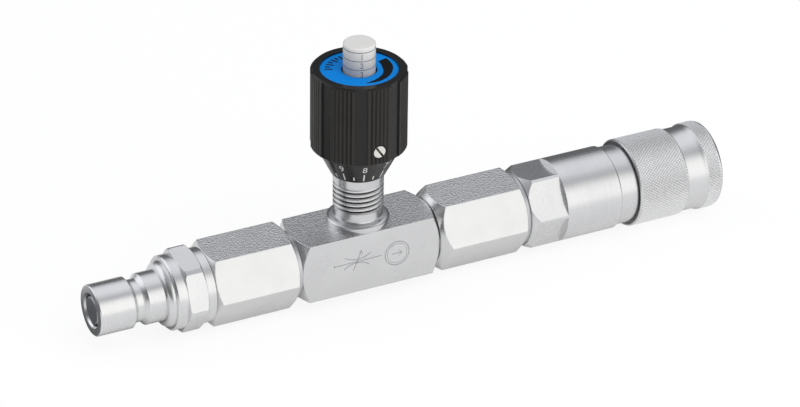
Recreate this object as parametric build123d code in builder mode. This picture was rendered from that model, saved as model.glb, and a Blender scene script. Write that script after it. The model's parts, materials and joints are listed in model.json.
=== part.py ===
from build123d import *
import os
from math import cos, radians, sin, sqrt, tan

# A throttle valve in a test line, in millimetres. The flow runs along X, from a quick coupling plug
# to a quick coupling socket. The origin is the middle of the plug's front face, and +Z points up the
# spindle to the hand knob. The valve stands part open, as the rings on its indicator cap show.

os.makedirs("parts", exist_ok=True)

# Clearances
fit_gap = 0.05          # radial play of shafts, stubs and rings in their bores
sleeve_play = 0.1       # radial play of the locking sleeve on the front body
seat_gap = 0.1          # between a closed cone and its seat
face_gap = 0.05         # between faces that are screwed up to each other
run_gap = 0.3           # between faces of pieces that move past each other
overcut = 1.0           # how far a cut runs out past the face that it opens

# Valve body: a square bar with its ends turned to a cone
body_width = 25.0
body_half_length = 30.0
spindle_x = 114.1       # from the plug's front face to the spindle's axis
body_face_r = 12.3      # flat of the turned end face
end_cone_angle = 30.0
port_r = 8.3
port_depth = 12.0
passage_r = 3.0
passage_shift = 4.0     # how far the two passages lie under and over the flow axis
seat_r = 4.5
seat_z = 1.0
upper_chamber_r = 6.5
lower_chamber_depth = 11.4
cross_bore_r = 8.0
cross_bore_z = 7.2      # height of the cross bore's floor
seal_pocket_r = 9.6
seal_pocket_depth = 1.8

# Hexagon adapters at both ends of the body
adapter_flats = 30.0
adapter_face_r = 14.6
adapter_bore_r = 6.0
plug_adapter_twist = 3.5      # how far each adapter was screwed round, in degrees
socket_adapter_twist = 3.8
socket_adapter_flats_length = 33.3
wide_cone_r = 13.6            # small end of the long cone beside the body
port_stub_length = 11.5
stub_chamfer = 1.0
stub_r = 9.45                 # stubs on the coupling side
plug_stub_length = 11.0
socket_stub_length = 12.0
ring_groove_depth = 1.4
ring_groove_width = 2.0
ring_groove_inset = 1.2       # from the shoulder of a stub to its O-ring groove
washer_thickness = 1.9
washer_r = 13.0
joint_washer_thickness = 1.45
joint_washer_r = 14.4

# Plug: the nose that a coupling socket takes
nose_r = 10.25
nose_length = 14.6            # from the front face to the ball groove
nose_edge = 0.4
groove_floor_r = 8.5
groove_flank = 1.6
groove_floor_length = 2.7
flare_r = 3.0
collar_front = 30.3
collar_r = 14.9
collar_edge = 0.6
collar_length = 4.5
plug_flats = 30.0
plug_flats_length = 7.2
plug_corner_r = 16.75         # of the round corners between the flats
plug_corner_edge = 0.5
plug_twist = 9.0
mouth_r = 7.1
plug_seat_x = 2.2
plug_seat_r = 6.35
plug_chamber_r = 8.6
plug_chamber_end = 12.6
plug_bore_r = 7.2
guide_seat_x = 30.0
guide_ring_width = 1.2
guide_ring_depth = 0.5
guide_ring_room = 1.35        # from the guide's ring to the adapter's stub

# Poppets of both couplings
poppet_nose_r = 5.7
poppet_nose_edge = 0.5
poppet_recess = 0.4
poppet_neck_r = 5.0
poppet_seal_width = 1.1
poppet_head_r = 6.9
poppet_head_length = 3.0
poppet_stem_r = 2.5
poppet_stem_reach = 1.4       # how far a stem stands out behind its guide
poppet_travel = 5.0
guide_thickness = 2.9
guide_hole_r = 1.9
guide_hole_circle_r = 6.4
guide_hole_count = 5
spring_wire_r = 0.6
wire_sides = 8                # wires and O-rings are round, drawn with so many sides
poppet_spring_r = 4.7
poppet_spring_turns = 6
poppet_spring_turns_long = 7

# Socket: rear barrel and front body
barrel_r = 17.0
barrel_flats = 30.0
barrel_flats_length = 15.4
barrel_twist = -3.0
barrel_length = 40.5
barrel_face_r = 15.2
barrel_end_chamfer = 0.6
barrel_chamber_r = 12.5
barrel_passage_r = 8.5
barrel_step = 21.7            # from the barrel's rear face to its inner shoulder
front_wall = 1.4              # outside the groove of the nose seal
front_neck_length = 12.2
front_body_length = 46.1
front_chamber_r = 10.0
socket_lead_in = 1.3
socket_depth = 27.8           # from the mouth to the shoulder that stops the nose
socket_seat_r = 6.4
socket_seat_land = 1.5
nose_seal_inset = 21.7        # from the mouth to the inner wall of the seal's groove
nose_seal_groove_depth = 2.3
nose_seal_groove_width = 4.2
backup_ring_width = 1.4
backup_ring_play = 0.2

# Locking balls, sleeve and stop ring
ball_count = 8
ball_bite = 1.15              # how far a locked ball stands into the bore
ball_hole_waist = 0.6         # from a ball's centre in to where its hole narrows
ball_hole_taper = 26.6        # degrees, so that no ball falls through
ball_relief_depth = 0.25      # of the wider stretch of bore round the balls
ball_relief_half = 2.85
ball_plane = 10.2             # from the mouth to the balls
ball_travel = 1.2
sleeve_travel = 5.0
sleeve_wall = 1.9             # outside the front body's neck
sleeve_spring_room = 2.1      # beside the front body, under the sleeve
sleeve_length = 38.6
sleeve_overhang = 0.3         # how far the sleeve stands past the front body
sleeve_lip_gap = 1.1          # round the neck, at the sleeve's rear edge
sleeve_lip_depth = 2.0
sleeve_land_start = 17.4      # from the sleeve's rear edge to its inner flange
sleeve_groove_start = 22.5
sleeve_groove_length = 9.3
sleeve_groove_depth = 0.9
sleeve_flare = 1.8
sleeve_edge = 0.5
stop_ring_stand = 2.2         # of the ring, out of the front body
stop_ring_bite = 1.0          # of its groove in the front body
stop_ring_width = 1.2
stop_ring_inset = 2.9         # from the mouth to the ring's rear face
ring_gap_width = 5.0
sleeve_spring_turns = 4

# Bonnet: the screwed neck that carries the spindle and the knob
bonnet_collar_r = 12.5
bonnet_collar_height = 2.7
neck_r = 10.0
neck_root_r = 9.2
neck_root_length = 4.0
neck_top = 34.4
journal_r = 8.0
journal_top = 45.0
journal_edge = 0.4
spindle_bore_r = 5.05
spindle_bore_top = 24.5
relief_r = 6.3
spindle_thread_bore_r = 6.0
spindle_thread_start = 33.0
snap_ring_z = 41.0
snap_wire_r = 0.5

# Spindle and indicator cap, at the opening that the indicator shows
turns_open = 3.8
turns_left = 0.2
turn_lift_height = 3.7        # rise in one turn of the knob, the spacing of the cap's rings
needle_tip_r = 1.2
needle_length = 10.0
needle_root_r = 4.3
spindle_land_length = 10.7
spindle_ring_height = 5.6     # from the needle's root to the spindle's O-ring
spindle_ring_depth = 1.2
spindle_waist_r = 4.75
spindle_thread_length = 15.0
spindle_hex = 8.0
cap_pin_r = 3.5
cap_pin_length = 11.5
cap_r = 6.35
cap_length = 14.2
cap_stand = 11.0              # of the cap's top, over the knob's rim
cap_edge = 0.4

# Knob, the hub inside it and the pieces that it holds
driver_r = 9.6
driver_web = 6.8
driver_gap = 0.1              # under the hub, on the neck's shoulder
knob_r = 19.0
knob_bottom_r = 11.1
knob_bottom_z = 34.7
skirt_top_r = 16.8            # of the cone, under the ribs
knob_shoulder_edge = 0.5
knob_shoulder_z = 46.1
knob_top_z = 79.3
knob_rim_chamfer = 0.9
sector_count = 8
screw_direction = 268.9       # of the set screw and its sector, in degrees about the spindle
rib_pitch = 5.0               # degrees
ribs_in_sector = 6
rib_valley_depth = 0.5
finger_groove_width = 4.9
finger_groove_depth = 0.8
cap_hole_r = 6.6
screw_r = 2.45
screw_z = 51.6
screw_inset = 0.1             # of the screw's end, under the knob's outside
screw_rim = 0.45
screw_slot = 0.8
screw_slot_depth = 1.2
screw_slot_tilt = 35.0
label_r = 15.3
label_thickness = 1.0
label_hole_r = 7.0
label_recess = 0.8            # of the label's face, under the knob's rim

# Places that follow from the sizes
cone_slope = tan(radians(end_cone_angle))
body_top = body_width / 2
body_left = spindle_x - body_half_length
body_right = spindle_x + body_half_length
adapter_corner_r = adapter_flats / 2 / cos(radians(30))
adapter_chamfer = (adapter_corner_r - adapter_face_r) * cone_slope
stub_bore_r = stub_r + fit_gap
port_stub_r = port_r - fit_gap
guide_ring_x = guide_seat_x + guide_thickness + 2 * face_gap
plug_stub_left = guide_ring_x + guide_ring_width + guide_ring_room
plug_adapter_left = plug_stub_left + plug_stub_length
plug_length = plug_adapter_left - face_gap
plug_adapter_right = body_left - washer_thickness - 2 * face_gap
socket_adapter_left = body_right + face_gap
socket_corner_left = socket_adapter_left + adapter_corner_r - wide_cone_r
socket_corner_right = socket_corner_left + socket_adapter_flats_length
socket_adapter_right = socket_corner_right + adapter_chamfer
barrel_left = socket_adapter_right + joint_washer_thickness + 2 * face_gap
barrel_right = barrel_left + barrel_length
barrel_shoulder = barrel_left + barrel_step
barrel_bore_end = barrel_left + socket_stub_length + run_gap
socket_guide_x = barrel_shoulder + face_gap
front_stub_left = socket_guide_x + guide_thickness + face_gap
socket_bore_r = nose_r + fit_gap
nose_seal_groove_r = socket_bore_r + nose_seal_groove_depth
front_body_r = nose_seal_groove_r + front_wall
front_neck_r = front_body_r + sleeve_spring_room
front_left = barrel_right + face_gap
front_shoulder = front_left + front_neck_length
mouth_x = front_left + front_body_length
stop_x = mouth_x - socket_depth
socket_seat_x = stop_x - socket_seat_land
ball_x = mouth_x - ball_plane
ball_r = (front_body_r + sleeve_play - fit_gap - socket_bore_r + ball_bite) / 2
ball_centre_r = socket_bore_r - ball_bite + ball_r
stop_ring_r = front_body_r + stop_ring_stand
stop_ring_groove_r = front_body_r - stop_ring_bite
stop_ring_x = mouth_x - stop_ring_inset
sleeve_r = front_neck_r + sleeve_wall
sleeve_right = mouth_x + sleeve_overhang
sleeve_left = sleeve_right - sleeve_length
sleeve_flange = sleeve_left + sleeve_land_start
bonnet_shoulder = body_top + bonnet_collar_height
lift = turns_open * turn_lift_height
spindle_land_r = spindle_bore_r - fit_gap
spindle_thread_r = spindle_thread_bore_r - fit_gap
needle_z = seat_z + seat_gap - (seat_r - needle_root_r) + lift
thread_bottom = spindle_bore_top + run_gap + lift
thread_top = thread_bottom + spindle_thread_length
web_bottom = thread_top + turns_left * turn_lift_height + run_gap
web_top = web_bottom + driver_web
cap_top_z = knob_top_z + cap_stand
cap_bottom = cap_top_z - cap_length
label_top = knob_top_z - label_recess
knob_floor_z = label_top - label_thickness - face_gap

spindle_plane = Plane(origin=(spindle_x, 0, 0), x_dir=(1, 0, 0), z_dir=(0, -1, 0))
spindle_axis = Axis((spindle_x, 0, 0), (0, 0, 1))


def flow_section(*points):
    """Half section of a piece turned about the flow axis, as (x, radius) points."""
    with BuildSketch(Plane.XZ) as section:
        with BuildLine():
            Polyline(*points, close=True)
        make_face()
    return section.sketch


def spindle_section(*points):
    """Half section of a piece turned about the spindle's axis, as (radius, z) points."""
    with BuildSketch(spindle_plane) as section:
        with BuildLine():
            Polyline(*points, close=True)
        make_face()
    return section.sketch


def wire_section(plane, along, across, wire_r):
    """Round section of an O-ring or a wire ring."""
    with BuildSketch(plane) as section:
        with Locations((along, across)):
            RegularPolygon(radius=wire_r, side_count=wire_sides, rotation=180 / wire_sides)
    return section.sketch


def across_flow(x):
    """The plane square to the flow axis at x."""
    return Plane(origin=(x, 0, 0), x_dir=(0, 1, 0), z_dir=(1, 0, 0))


def above_axis(z):
    """The plane square to the spindle's axis at height z."""
    return Plane(origin=(spindle_x, 0, z), x_dir=(1, 0, 0), z_dir=(0, 0, 1))


def from_spindle(direction, reach, z):
    """The plane that faces away from the spindle's axis in a direction given in degrees."""
    outward = (cos(radians(direction)), sin(radians(direction)), 0)
    return Plane(origin=(spindle_x + reach * outward[0], reach * outward[1], z),
                 x_dir=(0, 0, 1), z_dir=outward)


def hexagon(plane, flats, twist=0.0):
    """A hexagon with a flat on top, turned by twist degrees."""
    with BuildSketch(plane) as outline:
        RegularPolygon(radius=flats / 2, side_count=6, major_radius=False, rotation=twist)
    return outline.sketch


def ring_groove(shoulder, way, outer_r, depth):
    """Section of an O-ring groove near a stub's shoulder; way says on which side of it."""
    near = shoulder + way * ring_groove_inset
    far = near + way * ring_groove_width
    floor_r = outer_r - depth
    open_r = outer_r + overcut
    return flow_section((near, floor_r), (near, open_r), (far, open_r), (far, floor_r))


def groove_ring(shoulder, way, bore_r, outer_r, depth):
    """Section of the O-ring that fills such a groove under its bore."""
    middle = shoulder + way * (ring_groove_inset + ring_groove_width / 2)
    room = (bore_r - outer_r + depth) / 2
    return wire_section(Plane.XZ, middle, bore_r - room, room - fit_gap)


def poppet_section(seat_x, way, reach, stem_end):
    """Half section of a poppet whose cone closes on a seat at seat_x, with its stem towards way."""
    neck = seat_x + way * run_gap
    head = neck + way * poppet_seal_width
    back = head + way * poppet_head_length
    tip = seat_x - way * reach
    return flow_section(
        (tip, 0), (tip, poppet_nose_r - poppet_nose_edge), (tip + way * poppet_nose_edge, poppet_nose_r),
        (neck, poppet_nose_r), (neck, poppet_neck_r), (head, poppet_neck_r), (head, poppet_head_r),
        (back, poppet_head_r), (back, poppet_stem_r), (stem_end, poppet_stem_r), (stem_end, 0),
    )


def poppet_seal_section(seat_x, seat_opening_r, way):
    """Half section of the rubber ring that a poppet presses on its seat's cone."""
    near = run_gap + face_gap
    far = run_gap + poppet_seal_width - face_gap
    cone_r = seat_opening_r - seat_gap * sqrt(2)
    inner_r = poppet_neck_r + fit_gap
    outer_r = poppet_head_r
    points = ((near, inner_r), (near, cone_r + near), (outer_r - cone_r, outer_r), (far, outer_r), (far, inner_r))
    return flow_section(*((seat_x + way * along, radius) for along, radius in points))


def guide_disc(x, outer_r):
    """A disc that guides a poppet's stem, with flow holes round its hub."""
    with BuildPart() as disc:
        with BuildSketch(across_flow(x)):
            Circle(outer_r)
            Circle(poppet_stem_r + fit_gap, mode=Mode.SUBTRACT)
            with PolarLocations(guide_hole_circle_r, guide_hole_count, start_angle=90):
                Circle(guide_hole_r, mode=Mode.SUBTRACT)
        extrude(amount=guide_thickness)
    return disc.part


def coil(start, end, mean_r, turns):
    """A round-wire compression spring between two faces on the flow axis."""
    first = start + spring_wire_r + run_gap
    length = end - start - 2 * (spring_wire_r + run_gap)
    with BuildPart() as spring:
        with BuildLine() as wire:
            Helix(pitch=length / turns, height=length, radius=mean_r, center=(first, 0, 0), direction=(1, 0, 0))
        with BuildSketch(Plane(origin=wire.line @ 0, z_dir=wire.line % 0)):
            RegularPolygon(radius=spring_wire_r, side_count=wire_sides)
        sweep(path=wire.line)
    return spring.part


# Valve body, with a port at each end and the cross bore for the bonnet on top
with BuildPart() as valve_body:
    with BuildSketch(across_flow(body_left)):
        Rectangle(body_width, body_width)
    extrude(amount=2 * body_half_length)
    corner_r = body_width / sqrt(2) + overcut
    cone = (corner_r - body_face_r) * cone_slope
    revolve(
        flow_section(
            (body_left, 0), (body_left, body_face_r), (body_left + cone, corner_r),
            (body_right - cone, corner_r), (body_right, body_face_r), (body_right, 0),
        ),
        axis=Axis.X, mode=Mode.INTERSECT,
    )
    for end, inward in ((body_left, port_depth), (body_right, -port_depth)):
        with BuildSketch(across_flow(end)):
            Circle(port_r)
        extrude(amount=inward, mode=Mode.SUBTRACT)
    revolve(
        spindle_section(
            (0, body_top), (seal_pocket_r, body_top), (seal_pocket_r, body_top - seal_pocket_depth),
            (cross_bore_r, body_top - seal_pocket_depth), (cross_bore_r, cross_bore_z),
            (upper_chamber_r, cross_bore_z), (upper_chamber_r, seat_z), (seat_r, seat_z),
            (seat_r, seat_z - lower_chamber_depth + seat_r * cone_slope), (0, seat_z - lower_chamber_depth),
        ),
        axis=spindle_axis, mode=Mode.SUBTRACT,
    )
    # The inlet passage comes in under the seat, and the outlet passage leaves above it
    passage_length = body_half_length - port_depth + overcut
    with BuildSketch(across_flow(spindle_x - passage_length)):
        with Locations((0, -passage_shift)):
            Circle(passage_r)
    extrude(amount=passage_length, mode=Mode.SUBTRACT)
    with BuildSketch(across_flow(spindle_x + passage_length)):
        with Locations((0, passage_shift)):
            Circle(passage_r)
    extrude(amount=seat_r - passage_length, mode=Mode.SUBTRACT)
valve_body.part.label = "valve_body"
export_step(valve_body.part, "parts/valve_body.step")

# Bonnet, with its collar on the body, its screwed neck and the journal that the knob turns on
with BuildPart() as bonnet:
    insert_r = cross_bore_r - fit_gap
    insert_bottom = cross_bore_z + face_gap
    neck_start = bonnet_shoulder + neck_root_length
    snap_groove_r = journal_r - snap_wire_r - fit_gap
    snap_groove_half = snap_wire_r + fit_gap
    revolve(
        spindle_section(
            (spindle_bore_r, insert_bottom), (insert_r, insert_bottom), (insert_r, body_top),
            (bonnet_collar_r, body_top), (bonnet_collar_r, bonnet_shoulder), (neck_root_r, bonnet_shoulder),
            (neck_root_r, neck_start), (neck_r, neck_start + neck_r - neck_root_r), (neck_r, neck_top),
            (journal_r, neck_top), (journal_r, snap_ring_z - snap_groove_half),
            (snap_groove_r, snap_ring_z - snap_groove_half), (snap_groove_r, snap_ring_z + snap_groove_half),
            (journal_r, snap_ring_z + snap_groove_half), (journal_r, journal_top - journal_edge),
            (journal_r - journal_edge, journal_top), (spindle_thread_bore_r, journal_top),
            (spindle_thread_bore_r, spindle_thread_start), (relief_r, spindle_thread_start),
            (relief_r, spindle_bore_top), (spindle_bore_r, spindle_bore_top),
        ),
        axis=spindle_axis,
    )
bonnet.part.label = "bonnet"
export_step(bonnet.part, "parts/bonnet.step")

# O-ring in the pocket round the bonnet, under its collar
with BuildPart() as bonnet_oring:
    room = (seal_pocket_r - insert_r) / 2
    revolve(
        wire_section(spindle_plane, insert_r + room, body_top - seal_pocket_depth / 2, room - fit_gap),
        axis=spindle_axis,
    )
bonnet_oring.part.label = "bonnet_oring"
export_step(bonnet_oring.part, "parts/bonnet_oring.step")

# Hexagon adapter on the plug side, with one stub in the body and one in the plug
with BuildPart() as plug_adapter:
    port_stub_end = plug_adapter_right + port_stub_length
    revolve(
        flow_section(
            (plug_adapter_left, 0), (plug_adapter_left, adapter_face_r),
            (plug_adapter_left + adapter_chamfer, adapter_corner_r),
            (plug_adapter_right - adapter_chamfer, adapter_corner_r),
            (plug_adapter_right, adapter_face_r), (plug_adapter_right, 0),
        ),
        axis=Axis.X,
    )
    extrude(
        hexagon(across_flow(plug_adapter_left), adapter_flats, plug_adapter_twist),
        amount=plug_adapter_right - plug_adapter_left, mode=Mode.INTERSECT,
    )
    revolve(
        flow_section(
            (plug_stub_left, 0), (plug_stub_left, stub_r - stub_chamfer), (plug_stub_left + stub_chamfer, stub_r),
            (plug_adapter_left, stub_r), (plug_adapter_right, port_stub_r),
            (port_stub_end - stub_chamfer, port_stub_r), (port_stub_end, port_stub_r - stub_chamfer),
            (port_stub_end, 0),
        ),
        axis=Axis.X,
    )
    revolve(ring_groove(plug_adapter_left, -1, stub_r, ring_groove_depth), axis=Axis.X, mode=Mode.SUBTRACT)
    with BuildSketch(across_flow(plug_stub_left)):
        Circle(adapter_bore_r)
    extrude(amount=port_stub_end - plug_stub_left, mode=Mode.SUBTRACT)
plug_adapter.part.label = "plug_adapter"
export_step(plug_adapter.part, "parts/plug_adapter.step")

# O-ring on the plug adapter's stub
with BuildPart() as plug_stub_oring:
    revolve(groove_ring(plug_adapter_left, -1, stub_bore_r, stub_r, ring_groove_depth), axis=Axis.X)
plug_stub_oring.part.label = "plug_stub_oring"
export_step(plug_stub_oring.part, "parts/plug_stub_oring.step")

# Bonded washer between the plug adapter and the body, a metal ring with a rubber lip inside
with BuildPart() as body_washer:
    washer_left = plug_adapter_right + face_gap
    with BuildSketch(across_flow(washer_left)):
        Circle(washer_r)
        Circle(port_r + fit_gap, mode=Mode.SUBTRACT)
    extrude(amount=washer_thickness)
body_washer.part.label = "body_washer"
export_step(body_washer.part, "parts/body_washer.step")

# Hexagon adapter on the socket side, with a long cone beside the body
with BuildPart() as socket_adapter:
    port_stub_end = socket_adapter_left - port_stub_length
    joint_stub_end = socket_adapter_right + socket_stub_length
    revolve(
        flow_section(
            (socket_adapter_left, 0), (socket_adapter_left, wide_cone_r),
            (socket_corner_left, adapter_corner_r), (socket_corner_right, adapter_corner_r),
            (socket_adapter_right, adapter_face_r), (socket_adapter_right, 0),
        ),
        axis=Axis.X,
    )
    extrude(
        hexagon(across_flow(socket_adapter_left), adapter_flats, socket_adapter_twist),
        amount=socket_adapter_right - socket_adapter_left, mode=Mode.INTERSECT,
    )
    revolve(
        flow_section(
            (port_stub_end, 0), (port_stub_end, port_stub_r - stub_chamfer),
            (port_stub_end + stub_chamfer, port_stub_r), (socket_adapter_left, port_stub_r),
            (socket_adapter_right, stub_r), (joint_stub_end - stub_chamfer, stub_r),
            (joint_stub_end, stub_r - stub_chamfer), (joint_stub_end, 0),
        ),
        axis=Axis.X,
    )
    revolve(
        ring_groove(socket_adapter_left, -1, port_stub_r, ring_groove_depth), axis=Axis.X, mode=Mode.SUBTRACT,
    )
    with BuildSketch(across_flow(port_stub_end)):
        Circle(adapter_bore_r)
    extrude(amount=joint_stub_end - port_stub_end, mode=Mode.SUBTRACT)
socket_adapter.part.label = "socket_adapter"
export_step(socket_adapter.part, "parts/socket_adapter.step")

# O-ring on the socket adapter's stub in the body
with BuildPart() as body_oring:
    revolve(groove_ring(socket_adapter_left, -1, port_r, port_stub_r, ring_groove_depth), axis=Axis.X)
body_oring.part.label = "body_oring"
export_step(body_oring.part, "parts/body_oring.step")

# Washer between the socket adapter and the socket's barrel
with BuildPart() as joint_washer:
    with BuildSketch(across_flow(socket_adapter_right + face_gap)):
        Circle(joint_washer_r)
        Circle(stub_bore_r, mode=Mode.SUBTRACT)
    extrude(amount=joint_washer_thickness)
joint_washer.part.label = "joint_washer"
export_step(joint_washer.part, "parts/joint_washer.step")

# Coupling plug: nose, ball groove, flare, collar and spanner flats
with BuildPart() as plug_body:
    floor_start = nose_length + groove_flank
    floor_end = floor_start + groove_floor_length
    groove_end = floor_end + groove_flank
    collar_end = collar_front + collar_length
    flats_end = collar_end + plug_flats_length
    with BuildSketch(Plane.XZ):
        with BuildLine():
            Polyline(
                (collar_front - flare_r, nose_r), (groove_end, nose_r), (floor_end, groove_floor_r),
                (floor_start, groove_floor_r), (nose_length, nose_r), (nose_edge, nose_r),
                (0, nose_r - nose_edge), (0, 0), (plug_length, 0), (plug_length, collar_r),
                (flats_end + (plug_corner_r - collar_r) * cone_slope, collar_r), (flats_end, plug_corner_r),
                (collar_end + plug_corner_edge, plug_corner_r), (collar_end, plug_corner_r - plug_corner_edge),
                (collar_end, collar_r), (collar_front + collar_edge, collar_r),
                (collar_front, collar_r - collar_edge), (collar_front, nose_r + flare_r),
            )
            RadiusArc((collar_front - flare_r, nose_r), (collar_front, nose_r + flare_r), flare_r)
        make_face()
    revolve(axis=Axis.X)
    # Spanner flats behind the collar
    with BuildSketch(across_flow(collar_end)) as plug_flats_cut:
        Circle(plug_corner_r + overcut)
        add(hexagon(Plane.XY, plug_flats, plug_twist), mode=Mode.SUBTRACT)
    extrude(amount=plug_length - collar_end, mode=Mode.SUBTRACT)
    revolve(
        flow_section(
            (0, 0), (0, mouth_r), (mouth_r - plug_seat_r, plug_seat_r), (plug_seat_x, plug_seat_r),
            (plug_seat_x + plug_chamber_r - plug_seat_r, plug_chamber_r), (plug_chamber_end, plug_chamber_r),
            (plug_chamber_end + plug_chamber_r - plug_bore_r, plug_bore_r), (guide_seat_x, plug_bore_r),
            (guide_seat_x, stub_bore_r), (guide_ring_x, stub_bore_r), (guide_ring_x, stub_bore_r + guide_ring_depth),
            (guide_ring_x + guide_ring_width, stub_bore_r + guide_ring_depth),
            (guide_ring_x + guide_ring_width, stub_bore_r), (plug_length, stub_bore_r), (plug_length, 0),
        ),
        axis=Axis.X, mode=Mode.SUBTRACT,
    )
plug_body.part.label = "plug_body"
export_step(plug_body.part, "parts/plug_body.step")

# Plug poppet with its rubber seal
plug_stem_end = guide_seat_x + guide_thickness + poppet_stem_reach
with BuildPart() as plug_poppet:
    revolve(poppet_section(plug_seat_x, 1, plug_seat_x - poppet_recess, plug_stem_end), axis=Axis.X)
plug_poppet.part.label = "plug_poppet"
export_step(plug_poppet.part, "parts/plug_poppet.step")

with BuildPart() as plug_poppet_seal:
    revolve(poppet_seal_section(plug_seat_x, plug_seat_r, 1), axis=Axis.X)
plug_poppet_seal.part.label = "plug_poppet_seal"
export_step(plug_poppet_seal.part, "parts/plug_poppet_seal.step")

# Guide of the plug poppet's stem, and the open ring that keeps it in the plug
plug_guide_x = guide_seat_x + face_gap
with BuildPart() as plug_guide:
    add(guide_disc(plug_guide_x, stub_bore_r - fit_gap))
plug_guide.part.label = "plug_guide"
export_step(plug_guide.part, "parts/plug_guide.step")

with BuildPart() as plug_guide_ring:
    with BuildSketch(across_flow(guide_ring_x + face_gap)):
        Circle(stub_bore_r + guide_ring_depth - fit_gap)
        Circle(stub_bore_r - guide_ring_depth, mode=Mode.SUBTRACT)
        with Locations((0, -stub_bore_r)):
            Rectangle(ring_gap_width, stub_bore_r, mode=Mode.SUBTRACT)
    extrude(amount=guide_ring_width - 2 * face_gap)
plug_guide_ring.part.label = "plug_guide_ring"
export_step(plug_guide_ring.part, "parts/plug_guide_ring.step")

# Spring behind the plug poppet
plug_head_back = plug_seat_x + run_gap + poppet_seal_width + poppet_head_length
with BuildPart() as plug_spring:
    add(coil(plug_head_back, plug_guide_x, poppet_spring_r, poppet_spring_turns))
plug_spring.part.label = "plug_spring"
export_step(plug_spring.part, "parts/plug_spring.step")

# Socket barrel with its spanner flats
with BuildPart() as socket_barrel:
    chamfer_length = (barrel_r - barrel_face_r) / cone_slope
    revolve(
        flow_section(
            (barrel_left, 0), (barrel_left, barrel_face_r), (barrel_left + chamfer_length, barrel_r),
            (barrel_right - barrel_end_chamfer, barrel_r), (barrel_right, barrel_r - barrel_end_chamfer),
            (barrel_right, 0),
        ),
        axis=Axis.X,
    )
    with BuildSketch(across_flow(barrel_left)) as barrel_flats_cut:
        Circle(barrel_r + overcut)
        add(hexagon(Plane.XY, barrel_flats, barrel_twist), mode=Mode.SUBTRACT)
    extrude(amount=barrel_flats_length, mode=Mode.SUBTRACT)
    revolve(
        flow_section(
            (barrel_left, 0), (barrel_left, stub_bore_r), (barrel_bore_end, stub_bore_r),
            (barrel_bore_end, barrel_passage_r), (barrel_shoulder, barrel_passage_r),
            (barrel_shoulder, barrel_chamber_r), (barrel_right, barrel_chamber_r), (barrel_right, 0),
        ),
        axis=Axis.X, mode=Mode.SUBTRACT,
    )
socket_barrel.part.label = "socket_barrel"
export_step(socket_barrel.part, "parts/socket_barrel.step")

# Guide of the socket poppet's stem, clamped between barrel and front body
with BuildPart() as socket_guide:
    add(guide_disc(socket_guide_x, barrel_chamber_r - fit_gap))
socket_guide.part.label = "socket_guide"
export_step(socket_guide.part, "parts/socket_guide.step")

# Front body of the socket: seat, bore, seal groove, ball holes and stop ring groove
with BuildPart() as socket_front:
    front_stub_r = barrel_chamber_r - fit_gap
    seat_cone = front_chamber_r - socket_seat_r
    seal_wall = mouth_x - nose_seal_inset
    revolve(
        flow_section(
            (front_stub_left, front_chamber_r), (front_stub_left, front_stub_r), (front_left, front_stub_r),
            (front_left, front_neck_r), (front_shoulder, front_neck_r), (front_shoulder, front_body_r),
            (stop_ring_x, front_body_r), (stop_ring_x, stop_ring_groove_r),
            (stop_ring_x + stop_ring_width + face_gap, stop_ring_groove_r),
            (stop_ring_x + stop_ring_width + face_gap, front_body_r), (mouth_x, front_body_r),
            (mouth_x, socket_bore_r + socket_lead_in), (mouth_x - socket_lead_in, socket_bore_r),
            (ball_x + ball_relief_half, socket_bore_r),
            (ball_x + ball_relief_half - ball_relief_depth, socket_bore_r + ball_relief_depth),
            (ball_x - ball_relief_half + ball_relief_depth, socket_bore_r + ball_relief_depth),
            (ball_x - ball_relief_half, socket_bore_r), (seal_wall + nose_seal_groove_width, socket_bore_r),
            (seal_wall + nose_seal_groove_width, nose_seal_groove_r), (seal_wall, nose_seal_groove_r),
            (seal_wall, socket_bore_r), (stop_x, socket_bore_r), (stop_x, socket_seat_r),
            (socket_seat_x, socket_seat_r), (socket_seat_x - seat_cone, front_chamber_r),
        ),
        axis=Axis.X,
    )
    revolve(ring_groove(front_left, -1, front_stub_r, ring_groove_depth), axis=Axis.X, mode=Mode.SUBTRACT)
    for number in range(ball_count):
        turn = radians(360 / ball_count * (number + 0.5))
        hole_plane = Plane(origin=(ball_x, 0, 0), x_dir=(1, 0, 0), z_dir=(0, cos(turn), sin(turn)))
        with BuildSketch(hole_plane.offset(ball_centre_r - ball_hole_waist)) as ball_hole:
            Circle(ball_r + fit_gap)
        extrude(ball_hole.sketch, amount=front_body_r - socket_bore_r, mode=Mode.SUBTRACT)
        extrude(ball_hole.sketch, amount=-ball_bite, taper=ball_hole_taper, mode=Mode.SUBTRACT)
socket_front.part.label = "socket_front"
export_step(socket_front.part, "parts/socket_front.step")

# O-ring between barrel and front body
with BuildPart() as barrel_oring:
    revolve(groove_ring(front_left, -1, barrel_chamber_r, front_stub_r, ring_groove_depth), axis=Axis.X)
barrel_oring.part.label = "barrel_oring"
export_step(barrel_oring.part, "parts/barrel_oring.step")

# Socket poppet with its rubber seal, and the spring behind it
socket_stem_end = socket_guide_x - poppet_stem_reach
socket_nose_reach = socket_seat_land + poppet_recess + 2 * poppet_travel
with BuildPart() as socket_poppet:
    revolve(poppet_section(socket_seat_x, -1, socket_nose_reach, socket_stem_end), axis=Axis.X)
socket_poppet.part.label = "socket_poppet"
export_step(socket_poppet.part, "parts/socket_poppet.step")

with BuildPart() as socket_poppet_seal:
    revolve(poppet_seal_section(socket_seat_x, socket_seat_r, -1), axis=Axis.X)
socket_poppet_seal.part.label = "socket_poppet_seal"
export_step(socket_poppet_seal.part, "parts/socket_poppet_seal.step")

socket_head_back = socket_seat_x - run_gap - poppet_seal_width - poppet_head_length
with BuildPart() as socket_spring:
    add(coil(socket_guide_x + guide_thickness, socket_head_back, poppet_spring_r, poppet_spring_turns_long))
socket_spring.part.label = "socket_spring"
export_step(socket_spring.part, "parts/socket_spring.step")

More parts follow.
